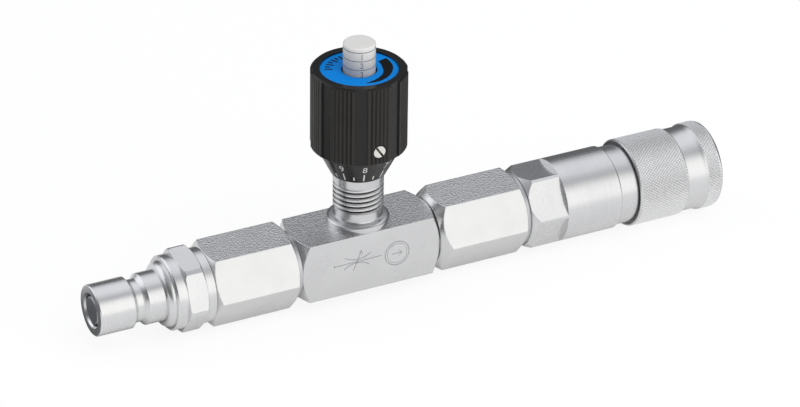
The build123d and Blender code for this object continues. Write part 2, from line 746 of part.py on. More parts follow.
# Seal round the mating nose, with a hard ring on its outer side
with BuildPart() as nose_seal:
    seal_wire_r = (nose_seal_groove_r - nose_r) / 2 - fit_gap / 2
    revolve(
        wire_section(Plane.XZ, seal_wall + seal_wire_r + fit_gap, nose_r + seal_wire_r, seal_wire_r),
        axis=Axis.X,
    )
nose_seal.part.label = "nose_seal"
export_step(nose_seal.part, "parts/nose_seal.step")

with BuildPart() as backup_ring:
    with BuildSketch(across_flow(seal_wall + nose_seal_groove_width - face_gap - backup_ring_width)):
        Circle(nose_seal_groove_r - fit_gap)
        Circle(socket_bore_r + backup_ring_play, mode=Mode.SUBTRACT)
    extrude(amount=backup_ring_width)
backup_ring.part.label = "backup_ring"
export_step(backup_ring.part, "parts/backup_ring.step")

# Locking balls, one in each hole of the front body
for number in range(ball_count):
    turn = radians(360 / ball_count * (number + 0.5))
    with BuildPart() as ball:
        with Locations((ball_x, ball_centre_r * cos(turn), ball_centre_r * sin(turn))):
            Sphere(ball_r)
    ball.part.label = f"ball_{number + 1}"
    export_step(ball.part, f"parts/ball_{number + 1}.step")

# Locking sleeve: its ramp lets the balls out evenly as it is drawn back
with BuildPart() as lock_sleeve:
    land_r = front_body_r + sleeve_play
    ramp_rise = ball_travel / sleeve_travel
    ramp_start = ball_x - run_gap
    ramp_end = ball_x + sleeve_travel + run_gap
    recess_r = land_r + ramp_rise * (ramp_end - ramp_start)
    stop_shoulder = stop_ring_x - face_gap
    groove_left = sleeve_left + sleeve_groove_start
    groove_right = groove_left + sleeve_groove_length
    revolve(
        flow_section(
            (sleeve_left, front_neck_r + sleeve_lip_gap), (sleeve_left, sleeve_r - sleeve_edge),
            (sleeve_left + sleeve_edge, sleeve_r), (groove_left, sleeve_r),
            (groove_left, sleeve_r - sleeve_groove_depth),
            (groove_right - sleeve_flare, sleeve_r - sleeve_groove_depth), (groove_right, sleeve_r),
            (sleeve_right - 2 * sleeve_edge, sleeve_r), (sleeve_right, sleeve_r - 2 * sleeve_edge),
            (sleeve_right, stop_ring_r + 2 * sleeve_play), (stop_shoulder, stop_ring_r + 2 * sleeve_play),
            (stop_shoulder, recess_r), (ramp_end, recess_r), (ramp_start, land_r), (sleeve_flange, land_r),
            (sleeve_flange, front_neck_r + sleeve_play),
            (sleeve_left + sleeve_lip_depth, front_neck_r + sleeve_play),
            (sleeve_left + sleeve_lip_depth, front_neck_r + sleeve_lip_gap),
        ),
        axis=Axis.X,
    )
lock_sleeve.part.label = "lock_sleeve"
export_step(lock_sleeve.part, "parts/lock_sleeve.step")

# Spring between the front body's shoulder and the sleeve's flange
with BuildPart() as sleeve_spring:
    sleeve_spring_r = (front_body_r + front_neck_r + sleeve_play) / 2
    add(coil(front_shoulder, sleeve_flange, sleeve_spring_r, sleeve_spring_turns))
sleeve_spring.part.label = "sleeve_spring"
export_step(sleeve_spring.part, "parts/sleeve_spring.step")

# Open ring that stops the sleeve at the mouth
with BuildPart() as stop_ring:
    with BuildSketch(across_flow(stop_ring_x + face_gap / 2)):
        Circle(stop_ring_r)
        Circle(stop_ring_groove_r + fit_gap, mode=Mode.SUBTRACT)
        with Locations((0, -stop_ring_r)):
            Rectangle(ring_gap_width, stop_ring_r, mode=Mode.SUBTRACT)
    extrude(amount=stop_ring_width)
stop_ring.part.label = "stop_ring"
export_step(stop_ring.part, "parts/stop_ring.step")

# Spindle: needle, sealed land, waist, thread, hexagon shank and the pin under the cap
with BuildPart() as spindle:
    cone_top = needle_z + spindle_land_r - needle_root_r
    land_top = needle_z + spindle_land_length
    ring_z = needle_z + spindle_ring_height
    ring_floor_r = spindle_land_r - spindle_ring_depth
    ring_half = ring_groove_width / 2
    hex_top = cap_bottom - face_gap
    revolve(
        spindle_section(
            (0, needle_z - needle_length), (needle_tip_r, needle_z - needle_length), (needle_root_r, needle_z),
            (spindle_land_r, cone_top), (spindle_land_r, ring_z - ring_half), (ring_floor_r, ring_z - ring_half),
            (ring_floor_r, ring_z + ring_half), (spindle_land_r, ring_z + ring_half),
            (spindle_land_r, land_top), (spindle_waist_r, land_top), (spindle_waist_r, thread_bottom),
            (spindle_thread_r, thread_bottom), (spindle_thread_r, thread_top), (0, thread_top),
        ),
        axis=spindle_axis,
    )
    extrude(hexagon(above_axis(thread_top), spindle_hex), amount=hex_top - thread_top)
    with BuildSketch(above_axis(hex_top)):
        Circle(cap_pin_r)
    extrude(amount=cap_pin_length)
spindle.part.label = "spindle"
export_step(spindle.part, "parts/spindle.step")

with BuildPart() as spindle_oring:
    room = (spindle_bore_r - ring_floor_r) / 2
    revolve(wire_section(spindle_plane, ring_floor_r + room, ring_z, room - fit_gap), axis=spindle_axis)
spindle_oring.part.label = "spindle_oring"
export_step(spindle_oring.part, "parts/spindle_oring.step")

# Indicator cap, pushed on the spindle's pin
with BuildPart() as indicator_cap:
    cap_bore_r = cap_pin_r + fit_gap
    cap_bore_top = hex_top + cap_pin_length + run_gap
    revolve(
        spindle_section(
            (cap_bore_r, cap_bottom), (cap_r, cap_bottom), (cap_r, cap_top_z - cap_edge),
            (cap_r - cap_edge, cap_top_z), (0, cap_top_z), (0, cap_bore_top), (cap_bore_r, cap_bore_top),
        ),
        axis=spindle_axis,
    )
indicator_cap.part.label = "indicator_cap"
export_step(indicator_cap.part, "parts/indicator_cap.step")

# Driver hub: turns on the neck's journal and drives the spindle's hexagon
with BuildPart() as driver:
    hub_bottom = neck_top + driver_gap
    hub_bore_r = journal_r + fit_gap
    snap_pocket_r = journal_r + snap_wire_r + fit_gap
    cavity_top = journal_top + run_gap
    revolve(
        spindle_section(
            (hub_bore_r, hub_bottom), (driver_r, hub_bottom), (driver_r, web_top), (0, web_top),
            (0, web_bottom), (relief_r, web_bottom), (relief_r, cavity_top), (hub_bore_r, cavity_top),
            (hub_bore_r, snap_ring_z + snap_groove_half), (snap_pocket_r, snap_ring_z + snap_groove_half),
            (snap_pocket_r, snap_ring_z - snap_groove_half), (hub_bore_r, snap_ring_z - snap_groove_half),
        ),
        axis=spindle_axis,
    )
    extrude(hexagon(above_axis(web_bottom), spindle_hex + 2 * fit_gap), amount=driver_web, mode=Mode.SUBTRACT)
driver.part.label = "driver"
export_step(driver.part, "parts/driver.step")

# Open wire ring, half in the journal and half in the hub
with BuildPart() as snap_ring:
    revolve(wire_section(spindle_plane, journal_r, snap_ring_z, snap_wire_r), axis=spindle_axis)
    with BuildSketch(above_axis(snap_ring_z - snap_wire_r)):
        with Locations((journal_r, 0)):
            Rectangle(journal_r, ring_gap_width)
    extrude(amount=2 * snap_wire_r, mode=Mode.SUBTRACT)
snap_ring.part.label = "snap_ring"
export_step(snap_ring.part, "parts/snap_ring.step")

# Knob: cone skirt, ribbed sectors with finger grooves between them, and the label's recess
with BuildPart() as knob:
    hub_hole_r = driver_r + fit_gap
    recess_r = label_r + fit_gap
    revolve(
        spindle_section(
            (hub_hole_r, knob_bottom_z), (knob_bottom_r, knob_bottom_z), (skirt_top_r, knob_shoulder_z),
            (knob_r - knob_shoulder_edge, knob_shoulder_z), (knob_r, knob_shoulder_z + knob_shoulder_edge),
            (knob_r, knob_top_z - knob_rim_chamfer),
            (knob_r - knob_rim_chamfer, knob_top_z), (recess_r, knob_top_z), (recess_r, knob_floor_z),
            (cap_hole_r, knob_floor_z), (cap_hole_r, web_top + face_gap), (hub_hole_r, web_top + face_gap),
        ),
        axis=spindle_axis,
    )
    with BuildSketch(above_axis(knob_shoulder_z)):
        with PolarLocations(knob_r, sector_count, start_angle=screw_direction + 180 / sector_count):
            Rectangle(2 * finger_groove_depth, finger_groove_width)
    extrude(amount=knob_top_z - knob_shoulder_z, mode=Mode.SUBTRACT)
    # V-shaped valleys between the ribs
    with BuildSketch(above_axis(knob_shoulder_z)):
        for sector in range(sector_count):
            first = screw_direction + sector * 360 / sector_count - rib_pitch * (ribs_in_sector / 2 - 1)
            with PolarLocations(knob_r, ribs_in_sector - 1, start_angle=first,
                                angular_range=rib_pitch * (ribs_in_sector - 1)):
                RegularPolygon(radius=rib_valley_depth, side_count=4)
    extrude(amount=knob_top_z - knob_shoulder_z, mode=Mode.SUBTRACT)
    # Threaded hole of the set screw, with a small relief round its mouth
    with BuildSketch(from_spindle(screw_direction, driver_r - 1, screw_z)):
        Circle(screw_r + fit_gap)
    extrude(amount=knob_r, mode=Mode.SUBTRACT)
    with BuildSketch(from_spindle(screw_direction, knob_r - screw_rim, screw_z)):
        Circle(screw_r + screw_rim)
    extrude(amount=knob_r, mode=Mode.SUBTRACT)
knob.part.label = "knob"
export_step(knob.part, "parts/knob.step")

# Slotted set screw that clamps the knob on its hub
with BuildPart() as set_screw:
    screw_length = knob_r - screw_inset - driver_r - face_gap
    with BuildSketch(from_spindle(screw_direction, driver_r + face_gap, screw_z)):
        Circle(screw_r)
    extrude(amount=screw_length)
    with BuildSketch(from_spindle(screw_direction, knob_r - screw_inset - screw_slot_depth, screw_z)):
        Rectangle(3 * screw_r, screw_slot, rotation=screw_slot_tilt)
    extrude(amount=2 * screw_slot_depth, mode=Mode.SUBTRACT)
set_screw.part.label = "set_screw"
export_step(set_screw.part, "parts/set_screw.step")

# Label ring in the knob's recess, round the cap
with BuildPart() as knob_label:
    with BuildSketch(above_axis(label_top - label_thickness)):
        Circle(label_r)
        Circle(label_hole_r, mode=Mode.SUBTRACT)
    extrude(amount=label_thickness)
knob_label.part.label = "knob_label"
export_step(knob_label.part, "parts/knob_label.step")
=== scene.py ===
import bmesh
import bpy
import json
from math import cos, degrees, hypot, pi, radians, sin, tau
from mathutils import Matrix, Vector


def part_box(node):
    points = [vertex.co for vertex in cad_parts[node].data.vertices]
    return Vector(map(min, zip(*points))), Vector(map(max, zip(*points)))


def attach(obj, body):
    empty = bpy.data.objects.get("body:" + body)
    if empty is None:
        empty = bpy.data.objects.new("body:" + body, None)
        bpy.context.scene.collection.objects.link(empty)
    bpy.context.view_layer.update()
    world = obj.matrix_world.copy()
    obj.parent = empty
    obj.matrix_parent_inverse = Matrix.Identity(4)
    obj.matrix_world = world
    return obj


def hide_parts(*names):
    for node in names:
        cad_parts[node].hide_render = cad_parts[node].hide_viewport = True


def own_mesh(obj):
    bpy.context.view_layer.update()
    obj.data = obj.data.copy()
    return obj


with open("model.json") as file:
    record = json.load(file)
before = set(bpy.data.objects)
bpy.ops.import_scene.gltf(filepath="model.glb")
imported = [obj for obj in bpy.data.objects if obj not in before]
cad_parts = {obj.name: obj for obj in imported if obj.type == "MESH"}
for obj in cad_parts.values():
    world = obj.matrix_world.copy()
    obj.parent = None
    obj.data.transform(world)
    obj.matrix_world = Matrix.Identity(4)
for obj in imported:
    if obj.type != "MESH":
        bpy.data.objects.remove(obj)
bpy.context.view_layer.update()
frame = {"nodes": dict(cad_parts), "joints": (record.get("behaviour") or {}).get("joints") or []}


# Valve body: a length of drawn square steel bar, turned to a cone at both ends and plated all over.
# The other pieces are screwed into it. Its drawn skin keeps a fine grain, deeper on the face that looks
# up, where the grain's speckled tone is painted sparkle. A flow symbol is cut in its front face.

mm = 0.001
nodes = frame["nodes"]
spindle_x = next(joint["pos_m"][0] for joint in frame["joints"] if joint["name"] == "knob_turn")


def add_node(tree, kind, inputs=(), **settings):
    """One node, with its settings, and its inputs given as plain values or as other nodes' outputs."""
    made = tree.nodes.new(kind)
    for name, value in settings.items():
        setattr(made, name, value)
    for name, value in dict(inputs).items():
        if isinstance(value, bpy.types.NodeSocket):
            tree.links.new(value, made.inputs[name])
        else:
            made.inputs[name].default_value = value
    return made


def math_node(tree, operation, first, second=0.0, third=0.0, clamp=False):
    """The result of one sum."""
    return add_node(tree, "ShaderNodeMath", {0: first, 1: second, 2: third},
                    operation=operation, use_clamp=clamp).outputs[0]


def ramp(tree, value, start, end, low=0.0, high=1.0, eased=False):
    """A number that goes from low to high as a value goes from start to end, and stays level past them."""
    return add_node(tree, "ShaderNodeMapRange", {
        "Value": value, "From Min": start, "From Max": end, "To Min": low, "To Max": high,
    }, interpolation_type="SMOOTHSTEP" if eased else "LINEAR").outputs["Result"]


def blend(tree, share, under, over):
    """The first colour, turning into the second where the share is 1. Each is three numbers or a socket."""
    under, over = ((*colour, 1) if isinstance(colour, tuple) else colour for colour in (under, over))
    return add_node(tree, "ShaderNodeMix", {"Factor": share, 6: under, 7: over},
                    data_type="RGBA").outputs["Result"]


def parts_of(tree, vector):
    """The X, Y and Z of a vector."""
    return add_node(tree, "ShaderNodeSeparateXYZ", {0: vector}).outputs


def place_of(tree):
    """Where a point of a surface lies in the shared frame."""
    return tree.nodes.new("ShaderNodeTexCoord").outputs["Object"]


def lumps(tree, vector, size, detail, roughness):
    """Soft lumps of a size in metres."""
    return add_node(tree, "ShaderNodeTexNoise", {
        "Vector": vector, "Scale": math_node(tree, "DIVIDE", 1.0, size), "Detail": detail,
        "Roughness": roughness,
    }).outputs["Fac"]


def named_tree(name, kind, inputs, outputs):
    """An empty tree with named sockets, given back with what comes in and what goes out."""
    tree = bpy.data.node_groups.new(name, kind)
    for label, socket_kind, value in inputs:
        socket = tree.interface.new_socket(label, in_out="INPUT", socket_type=socket_kind)
        if value is not None:
            socket.default_value = value
    for label, socket_kind in outputs:
        tree.interface.new_socket(label, in_out="OUTPUT", socket_type=socket_kind)
    return tree, tree.nodes.new("NodeGroupInput").outputs, tree.nodes.new("NodeGroupOutput").inputs


def make_grain():
    """Fine lumps of a drawn or moulded skin, with slow clouds under them."""
    group, given, result = named_tree("surface_grain", "ShaderNodeTree", [
        ("Vector", "NodeSocketVector", None), ("Grain Size", "NodeSocketFloat", 0.0006),
        ("Cloud Size", "NodeSocketFloat", 0.012),
    ], [("Tone", "NodeSocketFloat"), ("Clouds", "NodeSocketFloat"), ("Height", "NodeSocketFloat")])
    fine = lumps(group, given["Vector"], given["Grain Size"], detail=2.0, roughness=0.6)
    broad = lumps(group, given["Vector"], given["Cloud Size"], detail=3.0, roughness=0.5)
    group.links.new(ramp(group, fine, start=0.36, end=0.64), result["Tone"])
    group.links.new(ramp(group, broad, start=0.3, end=0.7), result["Clouds"])
    group.links.new(fine, result["Height"])
    return group


def make_turning():
    """Rings left by a turning tool round the X axis of the vector, on cylinders and on end faces."""
    group, given, result = named_tree("turning_marks", "ShaderNodeTree", [
        ("Vector", "NodeSocketVector", None), ("Ring Spacing", "NodeSocketFloat", 0.0003),
    ], [("Tone", "NodeSocketFloat"), ("Height", "NodeSocketFloat")])
    parts = parts_of(group, given["Vector"])
    across = math_node(group, "POWER", parts["Y"], 2.0)
    across = math_node(group, "ADD", across, math_node(group, "POWER", parts["Z"], 2.0))
    radius = math_node(group, "SQRT", across)
    place = add_node(group, "ShaderNodeCombineXYZ", {"X": parts["X"], "Y": radius}).outputs[0]
    rings = lumps(group, place, given["Ring Spacing"], detail=2.0, roughness=0.7)
    group.links.new(ramp(group, rings, start=0.3, end=0.7), result["Tone"])
    group.links.new(rings, result["Height"])
    return group


surface_grain = make_grain()
turning_marks = make_turning()


def empty_material(name):
    """A new material and its tree."""
    material = bpy.data.materials.new(name)
    material.use_nodes = True
    return material, material.node_tree


def dress_surface(tree, colour, gloss, height, height_scale, edge):
    """Gives a material its colour, its roughness and its relief, with edges that look rounded."""
    surface = tree.nodes["Principled BSDF"]
    rounded = add_node(tree, "ShaderNodeBevel", {"Radius": edge}, samples=4)
    relief = add_node(tree, "ShaderNodeBump", {
        "Strength": 1.0, "Distance": height_scale, "Height": height, "Normal": rounded.outputs[0],
    })
    tree.links.new(colour, surface.inputs["Base Color"])
    tree.links.new(gloss, surface.inputs["Roughness"])
    tree.links.new(relief.outputs["Normal"], surface.inputs["Normal"])


def metal(name, light, dark, roughness, grain=0.0006, grain_depth=0.0, rings=0.0003, ring_depth=0.0,
          upright=False, edge=0.00025, metallic=1.0, side_grain_and_sparkle=1.0):
    """A metal whose tone and gloss change with its grain, its clouds and the rings of its turning.

    Lengths are in metres. On faces that don't look up, the grain's relief and its speckled tone are
    weakened to side_grain_and_sparkle, so the speckle is painted sparkle on the faces that look up.
    """
    material, tree = empty_material(name)
    place = place_of(tree)
    if upright:
        place = add_node(tree, "ShaderNodeMapping", {
            "Vector": place, "Location": (0, 0, -spindle_x), "Rotation": (0, pi / 2, 0),
        }).outputs[0]
    grains = add_node(tree, "ShaderNodeGroup", {"Vector": place, "Grain Size": grain},
                      node_tree=surface_grain).outputs
    turned = add_node(tree, "ShaderNodeGroup", {"Vector": place, "Ring Spacing": rings},
                      node_tree=turning_marks).outputs
    upward = parts_of(tree, tree.nodes.new("ShaderNodeTexCoord").outputs["Normal"])["Z"]
    # Painted sparkle: the grain's speckled tone is full on faces that look up and fades on the others.
    grain_and_sparkle_share = ramp(tree, upward, start=0.6, end=0.9, low=side_grain_and_sparkle)
    tone = turned["Tone"]
    if not ring_depth:
        swing = math_node(tree, "SUBTRACT", grains["Tone"], 0.5)
        tone = math_node(tree, "MULTIPLY_ADD", swing, grain_and_sparkle_share, 0.5)
    tone_share = 0.6
    clouds = math_node(tree, "MULTIPLY", grains["Clouds"], 1 - tone_share)
    mixed = math_node(tree, "MULTIPLY_ADD", tone, tone_share, clouds)
    gloss = ramp(tree, mixed, 0.0, 1.0, low=roughness * 1.18, high=roughness * 0.85)
    depth = math_node(tree, "MULTIPLY", grain_and_sparkle_share, grain_depth)
    height = math_node(tree, "MULTIPLY", grains["Height"], depth)
    height = math_node(tree, "MULTIPLY_ADD", turned["Height"], ring_depth, height)
    dress_surface(tree, blend(tree, mixed, dark, light), gloss, height, 1.0, edge)
    tree.nodes["Principled BSDF"].inputs["Metallic"].default_value = metallic
    return material


def finish_nodes(material, *names):
    """The CAD pieces of these names get this finish."""
    for name in names:
        owner = nodes[name]
        if not owner.material_slots:
            owner.data.materials.append(None)
        for socket in owner.material_slots:
            socket.link = "OBJECT"
            socket.material = material


# The bar's painted sparkle, a speckled tone, shows on the faces that look up and hardly at all on the
# others.
plated_bar = metal("plated_bar", (0.81, 0.81, 0.805), (0.71, 0.71, 0.71), 0.26,
                   grain=0.00075, grain_depth=0.00026, edge=0.0006, side_grain_and_sparkle=0.03)
finish_nodes(plated_bar, "valve_body")


def add_object(name, data):
    """A new object of the scene, at the origin."""
    made = bpy.data.objects.new(name, data)
    bpy.context.scene.collection.objects.link(made)
    return made


def finished_piece(name, shape, material):
    """The piece that a mesh in making becomes."""
    mesh = bpy.data.meshes.new(name)
    shape.to_mesh(mesh)
    shape.free()
    mesh.materials.append(material)
    return add_object(name, mesh)


def flat_piece(name, strokes, material, place):
    """Thin flat marks: each stroke is a row of points with a width, laid on a surface by place(x, y)."""
    shape = bmesh.new()
    for points, width in strokes:
        rails = []
        for index, (x, y) in enumerate(points):
            before = points[max(index - 1, 0)]
            after = points[min(index + 1, len(points) - 1)]
            run_x = after[0] - before[0]
            run_y = after[1] - before[1]
            run = hypot(run_x, run_y)
            side = (-run_y / run * width / 2, run_x / run * width / 2)
            rails.append([shape.verts.new(place(x - side[0], y - side[1])),
                          shape.verts.new(place(x + side[0], y + side[1]))])
        for near, far in zip(rails, rails[1:]):
            shape.faces.new((near[0], far[0], far[1], near[1]))
    return finished_piece(name, shape, material)


def arc_points(centre, radius, start, end, steps=24):
    """Points on an arc, its ends given in degrees."""
    turns = [radians(start + (end - start) * step / steps) for step in range(steps + 1)]
    return [(centre[0] + radius * cos(turn), centre[1] + radius * sin(turn)) for turn in turns]


cut_line = metal("cut_line", (0.50, 0.50, 0.52), (0.36, 0.36, 0.38), 0.45, grain=0.0002, edge=0.00005)
body_front_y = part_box("valve_body")[0].y
cut_lift = 0.00002
fine_cut = 0.3
line_cut = 0.32
arc_cut = 0.34
mark_cut = 0.36
mark_inner_cut = 0.2
throttle_x = 107.6
throttle_z = 1.2
line_start = (97.8, 1.0)
line_end = (118.2, 1.3)
arrow_foot = (106.0, -2.6)
arrow_tip = (109.6, 5.7)
mark_x = 125.2
mark_z = 0.6
mark_r = 5.2
mark_inner_r = mark_r - 0.9
mark_steps = 72
mark_tip = (mark_x + 2.2, mark_z)
upper_arc = arc_points((throttle_x + 0.3, throttle_z + 10.2), radius=9.3, start=233, end=307)
lower_arc = arc_points((throttle_x - 0.1, throttle_z - 9.8), radius=9.2, start=53, end=127)
symbol = [
    ([line_start, line_end], line_cut),
    ([(line_start[0], 0.4), (line_start[0], 1.7)], fine_cut),
    (upper_arc, arc_cut),
    (lower_arc, arc_cut),
    ([arrow_foot, arrow_tip], fine_cut),
    ([(108.3, 4.6), arrow_tip, (109.9, 4.0)], fine_cut),
    (arc_points((mark_x, mark_z), mark_r, 0, 360, mark_steps), mark_cut),
    (arc_points((mark_x, mark_z), mark_inner_r, 0, 360, mark_steps), mark_inner_cut),
    ([(mark_x - 2.2, mark_z), (mark_x + 2.0, mark_z)], arc_cut),
    ([(mark_x + 0.6, mark_z + 1.3), mark_tip, (mark_x + 0.6, mark_z - 1.3)], arc_cut),
]
body_symbol = flat_piece("body_symbol", symbol, cut_line,
                         lambda x, z: (x * mm, body_front_y - cut_lift, z * mm))
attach(body_symbol, "valve")


# Hexagon adapters: drawn hexagon steel bar, turned to a cone at each end and plated like the body.
# Each is screwed in the body and carries a coupling half. A steel washer or a rubber ring lies in
# each joint and seals it.

finish_nodes(plated_bar, "plug_adapter", "socket_adapter")
washer_metal = metal("washer_metal", (0.74, 0.74, 0.75), (0.55, 0.55, 0.57), 0.42,
                     rings=0.0002, ring_depth=0.00001, edge=0.0003)
finish_nodes(washer_metal, "body_washer", "joint_washer")


def soft_material(name, light, dark, roughness, grain, depth, edge=0.0002):
    """A plastic or a rubber with a fine moulded grain."""
    material, tree = empty_material(name)
    grains = add_node(tree, "ShaderNodeGroup", {"Vector": place_of(tree), "Grain Size": grain},
                      node_tree=surface_grain).outputs
    tone_share = 0.4
    clouds = math_node(tree, "MULTIPLY", grains["Clouds"], 1 - tone_share)
    mixed = math_node(tree, "MULTIPLY_ADD", grains["Tone"], tone_share, clouds)
    gloss = ramp(tree, grains["Clouds"], 0.0, 1.0, low=roughness * 1.12, high=roughness * 0.9)
    dress_surface(tree, blend(tree, mixed, dark, light), gloss, grains["Height"], depth, edge)
    return material


seal_rubber = soft_material("seal_rubber", (0.03, 0.03, 0.032), (0.018, 0.018, 0.02), 0.55,
                            grain=0.0003, depth=0.00002)
finish_nodes(seal_rubber, "plug_stub_oring", "body_oring", "bonnet_oring", "spindle_oring", "barrel_oring",
             "plug_poppet_seal", "socket_poppet_seal", "nose_seal")


# Bonnet: a turned steel neck screwed in the body. A collar seats it, and its outside carries a
# coarse thread for a panel nut, with a plain band over it where the knob's skirt runs.

def turned_piece(name, outline, material, upright=False, steps=160, sharp_angle=28):
    """A turned ring: its half section, as (along, radius) in millimetres, spun about its axis."""
    shape = bmesh.new()
    rings = []
    for along, radius in outline:
        ring = []
        for step in range(steps):
            turn = tau * step / steps
            across = (radius * mm * cos(turn), radius * mm * sin(turn))
            spot = (spindle_x + across[0], across[1], along * mm) if upright else (along * mm, *across)
            ring.append(shape.verts.new(spot))
        rings.append(ring)
    for near, far in zip(rings, rings[1:] + rings[:1]):
        for step in range(steps):
            after = (step + 1) % steps
            shape.faces.new((near[step], near[after], far[after], far[step]))
    bmesh.ops.remove_doubles(shape, verts=shape.verts, dist=1e-7)
    bmesh.ops.recalc_face_normals(shape, faces=shape.faces)
    piece = finished_piece(name, shape, material)
    piece.data.shade_smooth()
    piece.data.set_sharp_from_angle(angle=radians(sharp_angle))
    return piece


def grown_piece(name, tree, values):
    """A plain mesh made by a geometry tree with these input values."""
    piece = add_object(name, bpy.data.meshes.new(name))
    maker = piece.modifiers.new("maker", "NODES")
    maker.node_group = tree
    for item in tree.interface.items_tree:
        if item.item_type == "SOCKET" and item.in_out == "INPUT" and item.name in values:
            maker[item.identifier] = values[item.name]
    ready = piece.evaluated_get(bpy.context.evaluated_depsgraph_get())
    mesh = bpy.data.meshes.new_from_object(ready)
    piece.modifiers.remove(maker)
    piece.data = mesh
    return piece


def paint_low_shade(material, centre, across, inner_r, outer_r, colour):
    """Paints shade: a darker colour in what lies low, fading out between two radii in millimetres round an
    axis.
    """
    tree = material.node_tree
    surface = tree.nodes["Principled BSDF"]
    out = add_node(tree, "ShaderNodeVectorMath", {0: place_of(tree), 1: centre}, operation="SUBTRACT")
    out = add_node(tree, "ShaderNodeVectorMath", {0: out.outputs[0], 1: across}, operation="MULTIPLY")
    radius = add_node(tree, "ShaderNodeVectorMath", {0: out.outputs[0]}, operation="LENGTH")
    share = ramp(tree, radius.outputs["Value"], inner_r * mm, outer_r * mm, eased=True)
    own = surface.inputs["Base Color"].links[0].from_socket
    tree.links.new(blend(tree, share, colour, own), surface.inputs["Base Color"])


def make_thread():
    """An outside thread on an upright cylinder: V grooves on one helix, which fade out at both ends."""
    tree, given, result = named_tree("neck_thread", "GeometryNodeTree", [
        ("Crest Radius", "NodeSocketFloat", 0.01), ("Depth", "NodeSocketFloat", 0.001),
        ("Pitch", "NodeSocketFloat", 0.002), ("Bottom", "NodeSocketFloat", 0.0),
        ("Length", "NodeSocketFloat", 0.01), ("Axis X", "NodeSocketFloat", 0.0),
        ("Around", "NodeSocketInt", 120), ("Rows", "NodeSocketInt", 120),
        ("Material", "NodeSocketMaterial", None),
    ], [("Geometry", "NodeSocketGeometry")])
    flank_share = 0.6
    root_share = 1.1
    fade_share = 0.15
    grid = add_node(tree, "GeometryNodeMeshGrid", {
        "Size X": 1.0, "Size Y": 1.0, "Vertices X": given["Around"], "Vertices Y": given["Rows"],
    })
    spot = parts_of(tree, tree.nodes.new("GeometryNodeInputPosition").outputs[0])
    round_share = math_node(tree, "ADD", spot["X"], 0.5)
    rise = math_node(tree, "MULTIPLY", math_node(tree, "ADD", spot["Y"], 0.5), given["Length"])
    turns = math_node(tree, "SUBTRACT", math_node(tree, "DIVIDE", rise, given["Pitch"]), round_share)
    phase = math_node(tree, "SUBTRACT", math_node(tree, "FRACT", turns), 0.5)
    from_root = math_node(tree, "MULTIPLY", math_node(tree, "ABSOLUTE", phase), 2.0)
    flank = math_node(tree, "DIVIDE", from_root, flank_share)
    groove = math_node(tree, "SUBTRACT", root_share, flank, clamp=True)
    nearest_end = math_node(tree, "MINIMUM", rise, math_node(tree, "SUBTRACT", given["Length"], rise))
    fade_length = math_node(tree, "MULTIPLY", given["Pitch"], fade_share)
    fade = math_node(tree, "DIVIDE", nearest_end, fade_length, clamp=True)
    cut = math_node(tree, "MULTIPLY", math_node(tree, "MULTIPLY", groove, fade), given["Depth"])
    radius = math_node(tree, "SUBTRACT", given["Crest Radius"], cut)
    turn = math_node(tree, "MULTIPLY", round_share, tau)
    where = add_node(tree, "ShaderNodeCombineXYZ", {
        "X": math_node(tree, "MULTIPLY_ADD", radius, math_node(tree, "COSINE", turn), given["Axis X"]),
        "Y": math_node(tree, "MULTIPLY", radius, math_node(tree, "SINE", turn)),
        "Z": math_node(tree, "ADD", given["Bottom"], rise),
    })
    wrapped = add_node(tree, "GeometryNodeSetPosition", {
        "Geometry": grid.outputs["Mesh"], "Position": where.outputs[0],
    })
    closed = add_node(tree, "GeometryNodeMergeByDistance", {
        "Geometry": wrapped.outputs[0], "Distance": 1e-6,
    })
    smooth = add_node(tree, "GeometryNodeSetShadeSmooth", {"Geometry": closed.outputs[0]})
    real = add_node(tree, "GeometryNodeRealizeInstances", {"Geometry": smooth.outputs[0]})
    done = add_node(tree, "GeometryNodeSetMaterial", {
        "Geometry": real.outputs[0], "Material": given["Material"],
    })
    tree.links.new(done.outputs[0], result["Geometry"])
    return tree


neck_metal = metal("neck_metal", (0.78, 0.78, 0.785), (0.62, 0.62, 0.63), 0.24,
                   rings=0.00025, ring_depth=0.000001, upright=True, edge=0.00025)
thread_metal = metal("thread_metal", (0.82, 0.82, 0.82), (0.70, 0.70, 0.70), 0.24,
                     rings=0.00025, ring_depth=0.000001, upright=True, edge=0.0002)
neck_r = 10.0
thread_depth = 1.1
thread_pitch = 2.07
thread_bottom = 20.1
thread_top = 30.6
spindle_axis = (spindle_x, 0, 0)
off_upright = (1, 1, 0)
